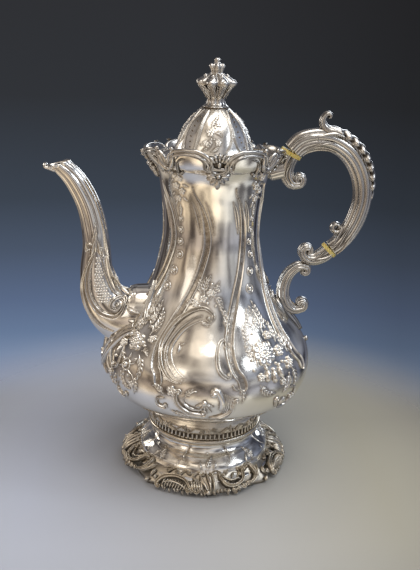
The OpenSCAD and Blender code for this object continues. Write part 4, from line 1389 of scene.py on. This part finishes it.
def reeded_pipe(clay, pipe, reeds=7, amount=0.5, columns=84, rows=150, fade=None, phase=0.0, blunt=2.2):
    s = np.linspace(0, pipe.s[-1], rows)
    a = np.linspace(0, 360, columns, endpoint=False)
    S, A = np.meshgrid(s, a, indexing="ij")
    wave = np.abs(np.cos(np.radians(A - phase) * reeds / 2)) ** 0.6
    strength = amount * (1 if fade is None else fade(S / pipe.s[-1]))
    size = pipe.reach(S)
    near_end = np.minimum(S, pipe.s[-1] - S) / blunt
    rounding = np.sqrt(np.clip(1 - (1 - np.clip(near_end, 0, 1)) ** 2, 0.02, 1))
    out = strength * (wave - 0.7) - (1 - rounding) * size * 0.92
    p, _ = pipe.place(A, S, out)
    clay.tube(p, np.clip(0.9 * (1 - wave) ** 1.2 * np.minimum(strength / 0.3, 1), 0, 1))


# %% [markdown]
# ## The handle
#
# The grip is a reeded scroll held between two sockets, with ivory between metal and metal. An
# acanthus leaf lies over its back, with a row of slanting ridges like a rope, and its tip turns
# up as a rest for the thumb.

# %% Grip
GRIP = Pipe([[50.9, 222.8, 6.4, 6.2], [56.4, 228.4, 6.9, 6.4], [64, 230.9, 6.9, 6.6], [72, 231, 7, 6.8],
    [80.2, 228.6, 6.9, 6.8], [88.2, 223, 6.8, 6.8], [94.6, 214.6, 6.6, 6.6], [98.8, 204, 6.4, 6.4],
    [99.8, 192, 6, 6.2], [97.4, 180, 6, 6], [92.8, 169.4, 5.8, 5.8], [87, 161.8, 5.5, 5.6],
    [81.4, 157.3, 5.2, 5.4]])
FIRST_WIDTH, FIRST_HEIGHT = [0.6, 1.4, 1.2, 0.2], [0.8, 1.2, 0.9, 0.3]
LAST_WIDTH, LAST_HEIGHT = [0.6, 1.3, 1.1, 0.2], [0.8, 1.3, 1.0, 0.3]
GRIP_LEAVES = (([(60, 0.3), (55, 1.4), (70, 2.6), (92, 3.6)], FIRST_WIDTH, FIRST_HEIGHT),
               ([(20, 0.3), (22, 1.5), (30, 3.0), (38, 4.2)], FIRST_WIDTH, FIRST_HEIGHT),
               ([(120, 0.3), (122, 1.2), (112, 2.2)], [0.6, 1.2, 0.2], [0.8, 1.1, 0.3]),
               ([(100, 11.8), (84, 11.0), (70, 10.2), (66, 9.3)], LAST_WIDTH, LAST_HEIGHT),
               ([(62, 11.8), (50, 11.1), (34, 10.4), (26, 9.6)], LAST_WIDTH, LAST_HEIGHT),
               ([(140, 11.8), (128, 11.2), (112, 10.6), (104, 9.9)], LAST_WIDTH, LAST_HEIGHT))
grip = Clay()
reeded_pipe(grip, GRIP, reeds=8, amount=1.25, columns=112, rows=230, phase=22, blunt=0.5)
for mirror in (-1, 1):
    p = Patch(grip, GRIP, mirror * 90, 6, lift=0.2)
    # a long leaf wraps each end of the grip; its tips lie along the reeds
    for places, width, height in GRIP_LEAVES:
        p.line([(mirror * degrees, station) for degrees, station in places], width, height, profile_leaf,
            across=11)
# the small curl inside the lower bend
inner = Pipe(curled([[94.5, 181, 1.2, 2.6], [92.2, 176.5, 2.0, 3.2], [89.2, 172.6, 2.2, 3.4],
    [86.2, 170.2, 2.0, 3.4]], 3.4, 1.1, -1, 0.5))
reeded_pipe(grip, inner, reeds=4, amount=0.3, columns=28, rows=70)
add_piece(grip, "handle_grip_reeded", cast_silver, replaces=["handle_grip"])

# %% Acanthus leaf and thumb rest
LEAF = Pipe([[69, 237.0, 1.6, 4.0], [75, 237.6, 2.2, 5.2], [84, 234.8, 2.6, 6.2], [93.2, 228.2, 2.7, 6.4],
    [100.0, 219.2, 2.7, 6.2], [104.2, 209, 2.3, 5.4], [105.6, 198, 1.5, 3.8], [105.4, 189, 0.7, 1.6]])
leaf = Clay()
s = np.linspace(0, LEAF.s[-1], 220)
a = np.linspace(0, 360, 56, endpoint=False)
S, A = np.meshgrid(s, a, indexing="ij")
slant = np.abs(np.sin(np.radians(A)))
rope = np.sin(S / 1.05 - 3.4 * slant) * smoothstep(S, 8, 16) * (1 - smoothstep(S, LEAF.s[-1] - 10,
    LEAF.s[-1]))
midrib = -0.5 * np.exp(-((np.abs((A + 180) % 360 - 180) - 180) / 14.0) ** 2)
vein = midrib - 0.35 * np.cos(np.radians(A * 6)) * (1 - smoothstep(S, 10, 22))
ends = np.sqrt(np.clip(1 - (1 - np.clip(np.minimum(S, LEAF.s[-1] - S) / 2.0, 0, 1)) ** 2, 0.02, 1))
points, _ = LEAF.place(A, S, 0.75 * rope * slant ** 0.4 + vein - (1 - ends) * LEAF.reach(S) * 0.9)
leaf.tube(points, np.clip(0.45 - 0.75 * rope, 0, 1) * np.clip(slant + 0.2, 0, 1))
thumb = Pipe(curled([[78, 237.0, 2.0, 5.4], [72.4, 237.6, 2.9, 5.2], [69.8, 240.6, 2.6, 4.4],
    [69.3, 244.2, 2.1, 3.8], [71.0, 247.0, 1.7, 3.4]], 2.0, 0.75, -1, 0.6))
reeded_pipe(leaf, thumb, reeds=6, amount=0.4, columns=48, rows=80)
for mirror in (-1, 1):
    tendril = Pipe(curled([[84, 233.5, 0.8, 1.4], [78, 235.4, 1.3, 1.6], [72.5, 235.0, 1.2, 1.5],
        [67, 233.4, 1.0, 1.3]], 1.8, 0.9, 1, 0.5))
    side_clay = Clay()
    reeded_pipe(side_clay, tendril, reeds=4, amount=0.15, columns=16, rows=50)
    leaf.add_clay(side_clay, [0, mirror * 5.4, 0])
add_piece(leaf, "handle_leaf_and_thumb_rest", cast_silver, replaces=["handle_leaf"])

# %% Sockets
SOCKET = Pipe(curled([[50.2, 221.4, 6.2, 6], [48.4, 216, 5.3, 5.7], [47.9, 210.4, 4.6, 5.3],
    [49.2, 205.0, 4.1, 5.0], [52.2, 201.6, 3.5, 4.8], [56.0, 201.4, 3.0, 4.6]], 3.2, 0.95, 1, 0.55))
socket = Clay()
reeded_pipe(socket, SOCKET, reeds=8, amount=0.95, columns=84, rows=140, phase=22, blunt=0.7)
for mirror in (-1, 1):
    p = Patch(socket, SOCKET, mirror * 90, 2, lift=0.1)
    p.line([(mirror * 100, 0.2), (mirror * 96, 1.2), (mirror * 80, 2.4), (mirror * 86, 3.6)],
        [0.8, 1.8, 1.5, 0.3], [1.0, 1.4, 1.2, 0.4], profile_leaf, across=11)
    p.bead((mirror * 60, 0.5), 1.4, 1.5)
arm = Pipe([[35.5, 207.5, 4.6, 4.4], [41, 209.6, 5.6, 4.9], [46.5, 211.4, 6.0, 5.0], [51, 213.4, 5.0, 4.6]])
reeded_pipe(socket, arm, reeds=8, amount=0.7, columns=56, rows=40)
add_piece(socket, "handle_top_socket", cast_silver,
    replaces=["handle_upper_socket", "handle_rim_bridge"])

LOWER = Pipe(curled([[81.4, 157.3, 5.2, 5.4], [76.6, 153, 5.1, 5.3], [71, 150.2, 4.4, 5.1],
    [66.2, 150.6, 3.8, 4.9], [63.2, 153.4, 3.3, 4.8]], 3.4, 0.9, -1, 0.5))
lower = Clay()
reeded_pipe(lower, LOWER, reeds=8, amount=0.9, columns=84, rows=130, phase=22, blunt=0.7)
for mirror in (-1, 1):
    p = Patch(lower, LOWER, mirror * 90, 1, lift=0.1)
    p.line([(mirror * 110, 0.2), (mirror * 100, 0.9), (mirror * 84, 1.8), (mirror * 90, 2.6)],
        [0.8, 1.6, 1.3, 0.3], [1.0, 1.4, 1.1, 0.4], profile_leaf, across=11)
    p.line([(mirror * 60, 0.2), (mirror * 62, 0.9), (mirror * 72, 1.6)], [0.6, 1.3, 0.3], [0.9, 1.3, 0.4],
        profile_leaf, across=11)
add_piece(lower, "handle_bottom_socket", cast_silver, replaces=["handle_lower_socket"])

# %% Bracket on the body
top = curled([[54.6, 140, 3.9, 4.8], [60.0, 144.6, 3.4, 4.6], [64.6, 144.6, 2.9, 4.3]], 2.7, 0.85, -1, 0.6)
bottom = curled([[51.4, 132.6, 4.3, 5.0], [51.2, 124, 4.4, 5], [54.0, 117.2, 4.2, 5],
    [59.2, 113.6, 3.6, 4.9], [64.4, 114.4, 3.0, 4.8]], 3.3, 0.9, 1, 0.55)
BRACKET = Pipe(top[::-1] + bottom, steps=6)
bracket = Clay()
reeded_pipe(bracket, BRACKET, reeds=7, amount=0.95, columns=76, rows=190)
for mirror in (-1, 1):
    p = Patch(bracket, BODY, 90 + mirror * 2.0, 112, lift=0.1)
    p.leaves((90 + mirror * 1.5, 119, -90 + mirror * 12, 26, 3.4, 3.2, -mirror * 20),
        (90 + mirror * 3.5, 122, -90 + mirror * 42, 13, 2.6, 2.6, -mirror * 30), (90 + mirror * 4.0, 128,
        -90 + mirror * 75, 8, 2.0, 2.2, -mirror * 40), (90 + mirror * 3.0, 132, 90 - mirror * 30, 9, 1.8,
        2.0, mirror * 40))
p = Patch(bracket, BODY, 90, 112, lift=0.6)
p.leaf((90, 121), -90, 30, 3.2, 3.6)
p.bead((90, 91.0), 2.0, 2.4)
add_piece(bracket, "handle_bracket_scroll", cast_silver, replaces=["handle_bracket"])

# %% [markdown]
# ## The spout
#
# The spout is cast in two halves and soldered along its front and back. Lengthwise reeds run up
# to an oblique beak. The lower part is a cartouche of its own: two mouldings sweep down into a
# big volute, with fish scales between them, under a collar of acanthus leaves.

# %% Spout tube
SPOUT = Pipe([[-35, 107.5, 22.6, 19], [-53, 107.5, 21.8, 17.5], [-65, 112, 17.5, 14],
    [-73, 123.5, 13.2, 11.5], [-76, 140, 10.6, 10], [-76, 156, 8.8, 9], [-77.6, 172, 7.8, 8.2],
    [-81.8, 187.5, 7.1, 7.4], [-89.6, 202, 6.4, 6.6], [-97.4, 209.6, 5.2, 5.6], [-103.4, 211.6, 3.6, 4.7],
    [-107.6, 211.8, 2.0, 3.4]], steps=12)
BEAK_TIP, BEAK_RISE = (-107.6, 209.4), math.tan(math.radians(15))

columns, rows = 120, 190
a = np.linspace(0, 360, columns, endpoint=False)
start = SPOUT.station(0.05)
end = np.empty(columns)
trial = np.linspace(SPOUT.station(7), SPOUT.s[-1], 500)
for k, degrees in enumerate(a):
    p, _ = SPOUT.place(np.full(500, degrees), trial)
    over = p[:, 2] > BEAK_TIP[1] + BEAK_RISE * (p[:, 0] - BEAK_TIP[0])
    end[k] = trial[np.argmax(over)] if over.any() else SPOUT.s[-1]
end = (np.roll(end, 1) + end + np.roll(end, -1)) / 3
q = np.linspace(0, 1, rows)[:, None]
S = start + (end[None, :] - start) * q
A = np.broadcast_to(a[None, :], S.shape)
wave = np.abs(np.cos(np.radians(A) * 4)) ** 0.6
reeded = 0.15 + 0.85 * smoothstep(S, SPOUT.station(5.2), SPOUT.station(6.2))
lip = 0.9 * np.exp(-((S - end[None, :]) / 1.1) ** 2)
outer, _ = SPOUT.place(A, S, 0.35 + 1.0 * reeded * (wave - 0.7) + lip)
q_in = np.linspace(0, 1, 24)[:, None]
S_in = end[None, :] - 26 * q_in
inner, _ = SPOUT.place(np.broadcast_to(a, S_in.shape), S_in, np.full(S_in.shape, -0.9))
spout = Clay()
shade = np.concatenate([np.clip(0.85 * (1 - wave) ** 1.2 * reeded, 0, 1),
    0.3 + 0.7 * q_in * np.ones(columns)])
spout.tube(np.concatenate([outer, inner]), shade)

for m in (-1, 1):
    p = Patch(spout, SPOUT, m * 90, 3, lift=0.3)

    def side(*points):
        return SPOUT.seen(points) * [-m, 1]

    p.scroll(side((-76.5, 154), (-80.2, 143), (-80.6, 130), (-77.6, 121), (-72.2, 114.6), (-65.0, 112.4)),
        2.3, 3.6, 8.2, side=-m, turns=1.3, boss=0.22)
    p.moulding(side((-78.5, 151), (-83, 140), (-84.4, 128), (-81, 115), (-73.5, 105.5), (-64, 101.5)),
        [0.3, 1.2, 1.5, 1.5, 1.2, 0.3], [0.8, 2.2, 2.4, 1.2])
    p.moulding(side((-72.5, 153), (-70.4, 142), (-66.5, 131), (-60.5, 123.5), (-54, 119.5)),
        [0.3, 1.0, 1.4, 1.4, 0.5], [0.8, 2.0, 2.4, 1.4])
    p.line(side((-68.6, 150), (-65.8, 138), (-60, 129.5), (-52.5, 125)), [0.3, 0.8, 1.0, 0.4],
           [0.6, 1.6, 1.8, 0.8], across=9)
    # fish scales between the two mouldings
    for row, z in enumerate(np.linspace(121.5, 151, 17)):
        left = np.interp(z, [120, 132, 152], [-73.5, -77, -75.4])
        right = np.interp(z, [120, 132, 152], [-63.5, -69.6, -73.4])
        for x in np.arange(left + (row % 2) * 0.85, right, 1.7):
            p.bead(side((x, z))[0], 0.95, 0.9)
    # acanthus collar, leaves and two small curls
    for x, z, angle, length, width in ((-78.6, 152, 100, 13, 2.3), (-76, 155, 94, 16, 2.4),
        (-73, 153, 84, 13, 2.2), (-80.6, 148, 112, 8, 1.8),
                                       (-70.4, 150, 74, 9, 1.8), (-77.4, 164, 104, 9, 1.7), (-75.2, 166,
                                           90, 9, 1.6)):
        place = side((x, z))[0]
        p.leaf(place, 90 + m * (angle - 90), length, width, 1.6, m * (angle - 90) * 0.8)
    p.scroll(side((-74.8, 158), (-71.6, 157.4), (-70.6, 153.4)), 1.1, 2.0, 1.5, side=m)
    p.scroll(side((-77.8, 160), (-80.8, 161), (-81.6, 157)), 1.0, 1.8, 1.4, side=-m)
    # leaves that run from the volute on to the body
    for (x, z), length, bend in (((-57.5, 124.5), 15, -12), ((-55.5, 118), 14, -4), ((-54.5, 111), 13, 6)):
        p.leaf(side((x, z))[0], -90 + m * 6, length, 2.6, 1.8, -m * bend)

lip_curl = Pipe(curled([[-100.5, 206.6, 1.4, 2.4], [-104.4, 208.6, 1.7, 2.9], [-107.4, 209.2, 1.4, 2.9]],
    1.3, 0.8, -1, 0.6))
reeded_pipe(spout, lip_curl, reeds=4, amount=0.2, columns=28, rows=50)
add_piece(spout, "spout_reeded", sheet_silver, replaces=["spout_half_front",
    "spout_half_back", "spout_lip", "spout_scroll_front", "spout_scroll_back"])

# %% Scrolls where the spout meets the body
root = Clay()
for m in (-1, 1):
    p = Patch(root, BODY, -90 + m * 14, 110, lift=0.4)

    def at(degrees, z):
        return (-90 + m * degrees, z)

    p.scroll([at(3, 72), at(10, 79), at(17, 90), at(23, 101), at(30, 107)], 2.2, 3.8, 3.2, side=-m,
        turns=0.85)
    p.moulding([at(2, 78), at(7, 86), at(13, 96), at(19, 104)], [0.4, 1.4, 1.6, 1.2, 0.4],
        [0.8, 2.2, 2.4, 1.2])
    p.scroll([at(20, 138), at(24, 128), at(29, 120), at(33, 116)], 1.8, 2.8, 2.4, side=m, turns=0.85)
    p.moulding([at(12, 136), at(20, 127), at(26, 117), at(28, 108)], [0.4, 1.4, 1.6, 1.4, 0.4],
        [0.8, 2.0, 2.2, 1.2])
    p.leaves((*at(17, 86), -90 + m * 30, 10, 2.0, 2.2, m * 30), (*at(10, 79), -90 + m * 10, 9, 1.8, 2.0,
        m * 20), (*at(23, 112), 90 - m * 70, 9, 2.0, 2.2, m * 30))
    p.flower(at(34, 121), 2.6, 2.0, 5)
p = Patch(root, BODY, -90, 80, lift=0.3)
p.fan((-90, 82), -90, 12, 5, 55, 2.0, 2.6)
p.bead((-90, 82), 2.4, 3.2)
add_piece(root, "spout_root", sheet_silver, replaces=["spout_base_mount"])

# %% [markdown]
# ## Stage, light and camera
#
# The pot stands on plain pale paper whose colour turns cooler to the left and darker behind:
# painted cool light on its left, painted warm light on its right and painted shade at the back.
# It fades out into the backdrop. Bare numbers in the ramps are places along them and the colours found
# there.

# %% Stage
def mesh_object(name, points, faces, material):
    mesh = bpy.data.meshes.new(name)
    mesh.from_pydata(points, [], faces)
    mesh.materials.append(material)
    thing = bpy.data.objects.new(name, mesh)
    bpy.context.scene.collection.objects.link(thing)
    return thing


paper = bpy.data.materials.new("pale_paper")
paper.use_nodes = True
tree = paper.node_tree
shader = tree.nodes["Principled BSDF"]
shader.inputs["Roughness"].default_value = 0.7
shader.inputs["Specular IOR Level"].default_value = 0.25
place = node(tree, "ShaderNodeTexCoord").outputs["Object"]
split = node(tree, "ShaderNodeSeparateXYZ", {0: place})
rightward = node(tree, "ShaderNodeMapRange", {"Value": split.outputs["X"], "From Min": -0.12,
    "From Max": 0.12}).outputs[0]
# painted light: the paper is cooler on the left and warmer on the right
painted_light_tint = node(tree, "ShaderNodeMix", data_type="RGBA")
tree.links.new(rightward, painted_light_tint.inputs[0])
painted_light_tint.inputs[6].default_value = (0.57, 0.61, 0.72, 1)
painted_light_tint.inputs[7].default_value = (0.47, 0.45, 0.37, 1)
# painted shade: the paper darkens towards the back
backward = node(tree, "ShaderNodeMapRange", {"Value": split.outputs["Y"], "From Min": -0.11,
    "From Max": 0.05, "To Min": 1.0, "To Max": 0.72}).outputs[0]
shaded = node(tree, "ShaderNodeVectorMath", {0: painted_light_tint.outputs[2], "Scale": backward},
    operation="SCALE").outputs["Vector"]
tree.links.new(shaded, shader.inputs["Base Color"])
reach = node(tree, "ShaderNodeVectorMath", {0: place}, operation="LENGTH").outputs["Value"]
fading = {"Value": reach, "From Min": 0.12, "From Max": 0.27, "To Min": 1.0, "To Max": 0.0}
fade = node(tree, "ShaderNodeMapRange", fading, interpolation_type="SMOOTHSTEP").outputs[0]
tree.links.new(fade, shader.inputs["Alpha"])
FLOOR_RADIUS, FLOOR_SIDES = 0.4, 96
turns = np.linspace(0, 2 * math.pi, FLOOR_SIDES, endpoint=False)
ring = [(FLOOR_RADIUS * math.cos(a), FLOOR_RADIUS * math.sin(a), 0.0) for a in turns]
wedges = [(0, 1 + i, 1 + (i + 1) % FLOOR_SIDES) for i in range(FLOOR_SIDES)]
floor = mesh_object("floor", [(0, 0, 0)] + ring, wedges, paper)
floor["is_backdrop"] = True
print("floor of radius", FLOOR_RADIUS, "m")

# %% The room, as light
world = bpy.data.worlds.new("studio")
bpy.context.scene.world = world
world.use_nodes = True
tree = world.node_tree
background = tree.nodes["Background"]
direction = node(tree, "ShaderNodeTexCoord").outputs["Generated"]
split = node(tree, "ShaderNodeSeparateXYZ", {0: direction})


def ramp_of(value, low, high, stops):
    t = node(tree, "ShaderNodeMapRange", {"Value": value, "From Min": low, "From Max": high}).outputs[0]
    n = node(tree, "ShaderNodeValToRGB", {"Fac": t})
    while len(n.color_ramp.elements) < len(stops):
        n.color_ramp.elements.new(0.5)
    for element, (position, colour) in zip(n.color_ramp.elements, stops):
        element.position, element.color = position, (*colour, 1)
    return n.outputs[0]


def blended(kind, factor, a, b):
    n = node(tree, "ShaderNodeMix", data_type="RGBA", blend_type=kind)
    for key, value in ((0, factor), (6, a), (7, b)):
        if isinstance(value, bpy.types.NodeSocket):
            tree.links.new(value, n.inputs[key])
        else:
            n.inputs[key].default_value = value
    return n.outputs[2]


# what the camera sees behind the pot: pale paper that bends up into a slate wall
wall = ramp_of(split.outputs["Z"], -0.62, 0.02, [(0.0, (0.47, 0.48, 0.50)), (0.12, (0.44, 0.445, 0.45)),
    (0.166, (0.35, 0.34, 0.33)), (0.216, (0.29, 0.28, 0.275)), (0.262, (0.25, 0.25, 0.265)),
    (0.30, (0.245, 0.29, 0.40)), (0.336, (0.195, 0.26, 0.39)), (0.372, (0.14, 0.20, 0.32)),
    (0.427, (0.107, 0.15, 0.25)), (0.517, (0.072, 0.096, 0.145)), (0.611, (0.047, 0.060, 0.082)),
    (0.797, (0.032, 0.035, 0.041)), (1.0, (0.030, 0.031, 0.035))])
wall = blended("MULTIPLY", 1.0, wall, ramp_of(split.outputs["X"], -0.3, 0.3, [
    (0.0, (1.0, 1.0, 1.0)), (0.55, (0.93, 0.93, 0.93)), (1.0, (0.58, 0.56, 0.54))]))
# what the silver sees: a warm floor, a dark horizon with a few pale shapes, a light ceiling
room = ramp_of(split.outputs["Z"], -1.0, 1.0, [(0.0, (0.60, 0.57, 0.52)), (0.24, (0.56, 0.53, 0.47)),
    (0.34, (0.20, 0.19, 0.195)), (0.43, (0.21, 0.20, 0.205)), (0.52, (0.34, 0.32, 0.30)),
    (0.64, (0.22, 0.225, 0.25)), (0.80, (0.29, 0.29, 0.30)), (1.0, (0.60, 0.59, 0.58))])
clutter = node(tree, "ShaderNodeTexNoise",
    {"Vector": direction, "Scale": 2.6, "Detail": 2.0}).outputs["Fac"]
room = blended("MULTIPLY", 1.0, room, ramp_of(clutter, 0.36, 0.64, [(0.0, (0.22, 0.20, 0.20)),
    (0.3, (0.75, 0.70, 0.66)), (0.5, (1.2, 1.14, 1.05)), (1.0, (2.0, 1.9, 1.75))]))
sideways = ramp_of(split.outputs["X"], -1.0, 1.0, [(0.0, (1.12, 1.02, 0.90)), (0.45, (1.0, 0.96, 0.92)),
    (0.62, (0.85, 0.9, 1.0)), (1.0, (0.85, 1.0, 1.28))])
room = blended("MULTIPLY", 1.0, room, sideways)
facing = ramp_of(split.outputs["Y"], -1.0, 1.0, [(0.0, (1.4, 1.37, 1.30)), (0.35, (1.15, 1.12, 1.07)),
    (0.6, (0.55, 0.56, 0.6)), (1.0, (0.35, 0.38, 0.45))])
room = blended("MULTIPLY", 1.0, room, facing)
camera_ray = node(tree, "ShaderNodeLightPath").outputs["Is Camera Ray"]
tree.links.new(blended("MIX", camera_ray, room, wall), background.inputs["Color"])


def softbox(name, place, target, width, height, power, colour):
    light = bpy.data.lights.new(name, "AREA")
    light.shape, light.size, light.size_y = "RECTANGLE", width, height
    light.energy, light.color = power, colour
    lamp = bpy.data.objects.new(name, light)
    bpy.context.scene.collection.objects.link(lamp)
    lamp.location = place
    aim = Vector(target) - Vector(place)
    lamp.rotation_euler = aim.to_track_quat("-Z", "Y").to_euler()
    lamp.visible_camera = False
    return lamp


middle_of_pot = (0.0, 0.0, 0.13)
softbox("window_right", (0.80, -0.62, 0.86), middle_of_pot, 0.30, 0.22, 1.1, (0.88, 0.94, 1.0))
softbox("window_right_pane", (0.92, -0.26, 0.92), middle_of_pot, 0.18, 0.36, 1.4, (0.84, 0.92, 1.0))
softbox("window_left", (-0.70, -0.80, 0.50), middle_of_pot, 0.50, 0.60, 0.8, (1.0, 0.93, 0.82))
softbox("ceiling", (0.15, -0.15, 1.20), middle_of_pot, 0.9, 0.7, 6.0, (1.0, 0.98, 0.95))
softbox("behind_right", (0.50, 0.90, 0.50), middle_of_pot, 0.25, 0.6, 2.0, (0.85, 0.92, 1.0))
softbox("behind_left", (-0.80, 0.60, 0.40), middle_of_pot, 0.20, 0.5, 1.2, (1.0, 0.95, 0.88))

# %% [markdown]
# ## The camera
#
# It looks down on the pot from a little to the left, and leans by two degrees.

# %% Camera
CAMERA_AZIMUTH, CAMERA_DOWN, CAMERA_ROLL = map(math.radians, (-4.5, 19.27, 2.12))
CAMERA_DISTANCE, CAMERA_HEIGHT, CAMERA_SLIDE, CAMERA_LENS = 0.520, 0.312, 0.00058, 50.99
across = Vector((math.cos(CAMERA_AZIMUTH), math.sin(CAMERA_AZIMUTH), 0))
ahead = Vector((-math.sin(CAMERA_AZIMUTH), math.cos(CAMERA_AZIMUTH), 0))
ahead = ahead * math.cos(CAMERA_DOWN) - Vector((0, 0, 1)) * math.sin(CAMERA_DOWN)
above = across.cross(ahead)
right = across * math.cos(CAMERA_ROLL) + above * math.sin(CAMERA_ROLL)
up = -across * math.sin(CAMERA_ROLL) + above * math.cos(CAMERA_ROLL)
spot = Vector((math.sin(CAMERA_AZIMUTH) * CAMERA_DISTANCE, -math.cos(CAMERA_AZIMUTH) * CAMERA_DISTANCE,
               CAMERA_HEIGHT)) + across * CAMERA_SLIDE
lens = bpy.data.cameras.new("camera")
lens.lens, lens.sensor_width = CAMERA_LENS, 36.0
camera = bpy.data.objects.new("camera", lens)
bpy.context.scene.collection.objects.link(camera)
camera.matrix_world = Matrix(((right.x, up.x, -ahead.x, spot.x), (right.y, up.y, -ahead.y, spot.y),
                              (right.z, up.z, -ahead.z, spot.z), (0, 0, 0, 1)))
bpy.context.scene.camera = camera
bpy.context.scene.view_settings.view_transform = "Standard"
print("camera at", [round(v, 3) for v in spot], "with a lens of", CAMERA_LENS, "mm")

# %% The CAD nodes that stay in sight
METAL = {"silver_sheet": sheet_silver, "silver_cast": cast_silver, "silver_plain": plain_silver,
    "ivory": ivory}
INSIDE = ("body_shell", "lid_dome", "foot_dome")
slots = {part["node"]: part["material_slot"] for part in frame["record"]["subparts"]}
for name, thing in frame["nodes"].items():
    thing.data.materials.clear()
    thing.data.materials.append(inside_silver if name in INSIDE else METAL[slots[name]])
print(len(frame["nodes"]), "nodes coated")

# %% Size of the pot
low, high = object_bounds()
print("visual box", [round(v, 4) for v in low], [round(v, 4) for v in high])
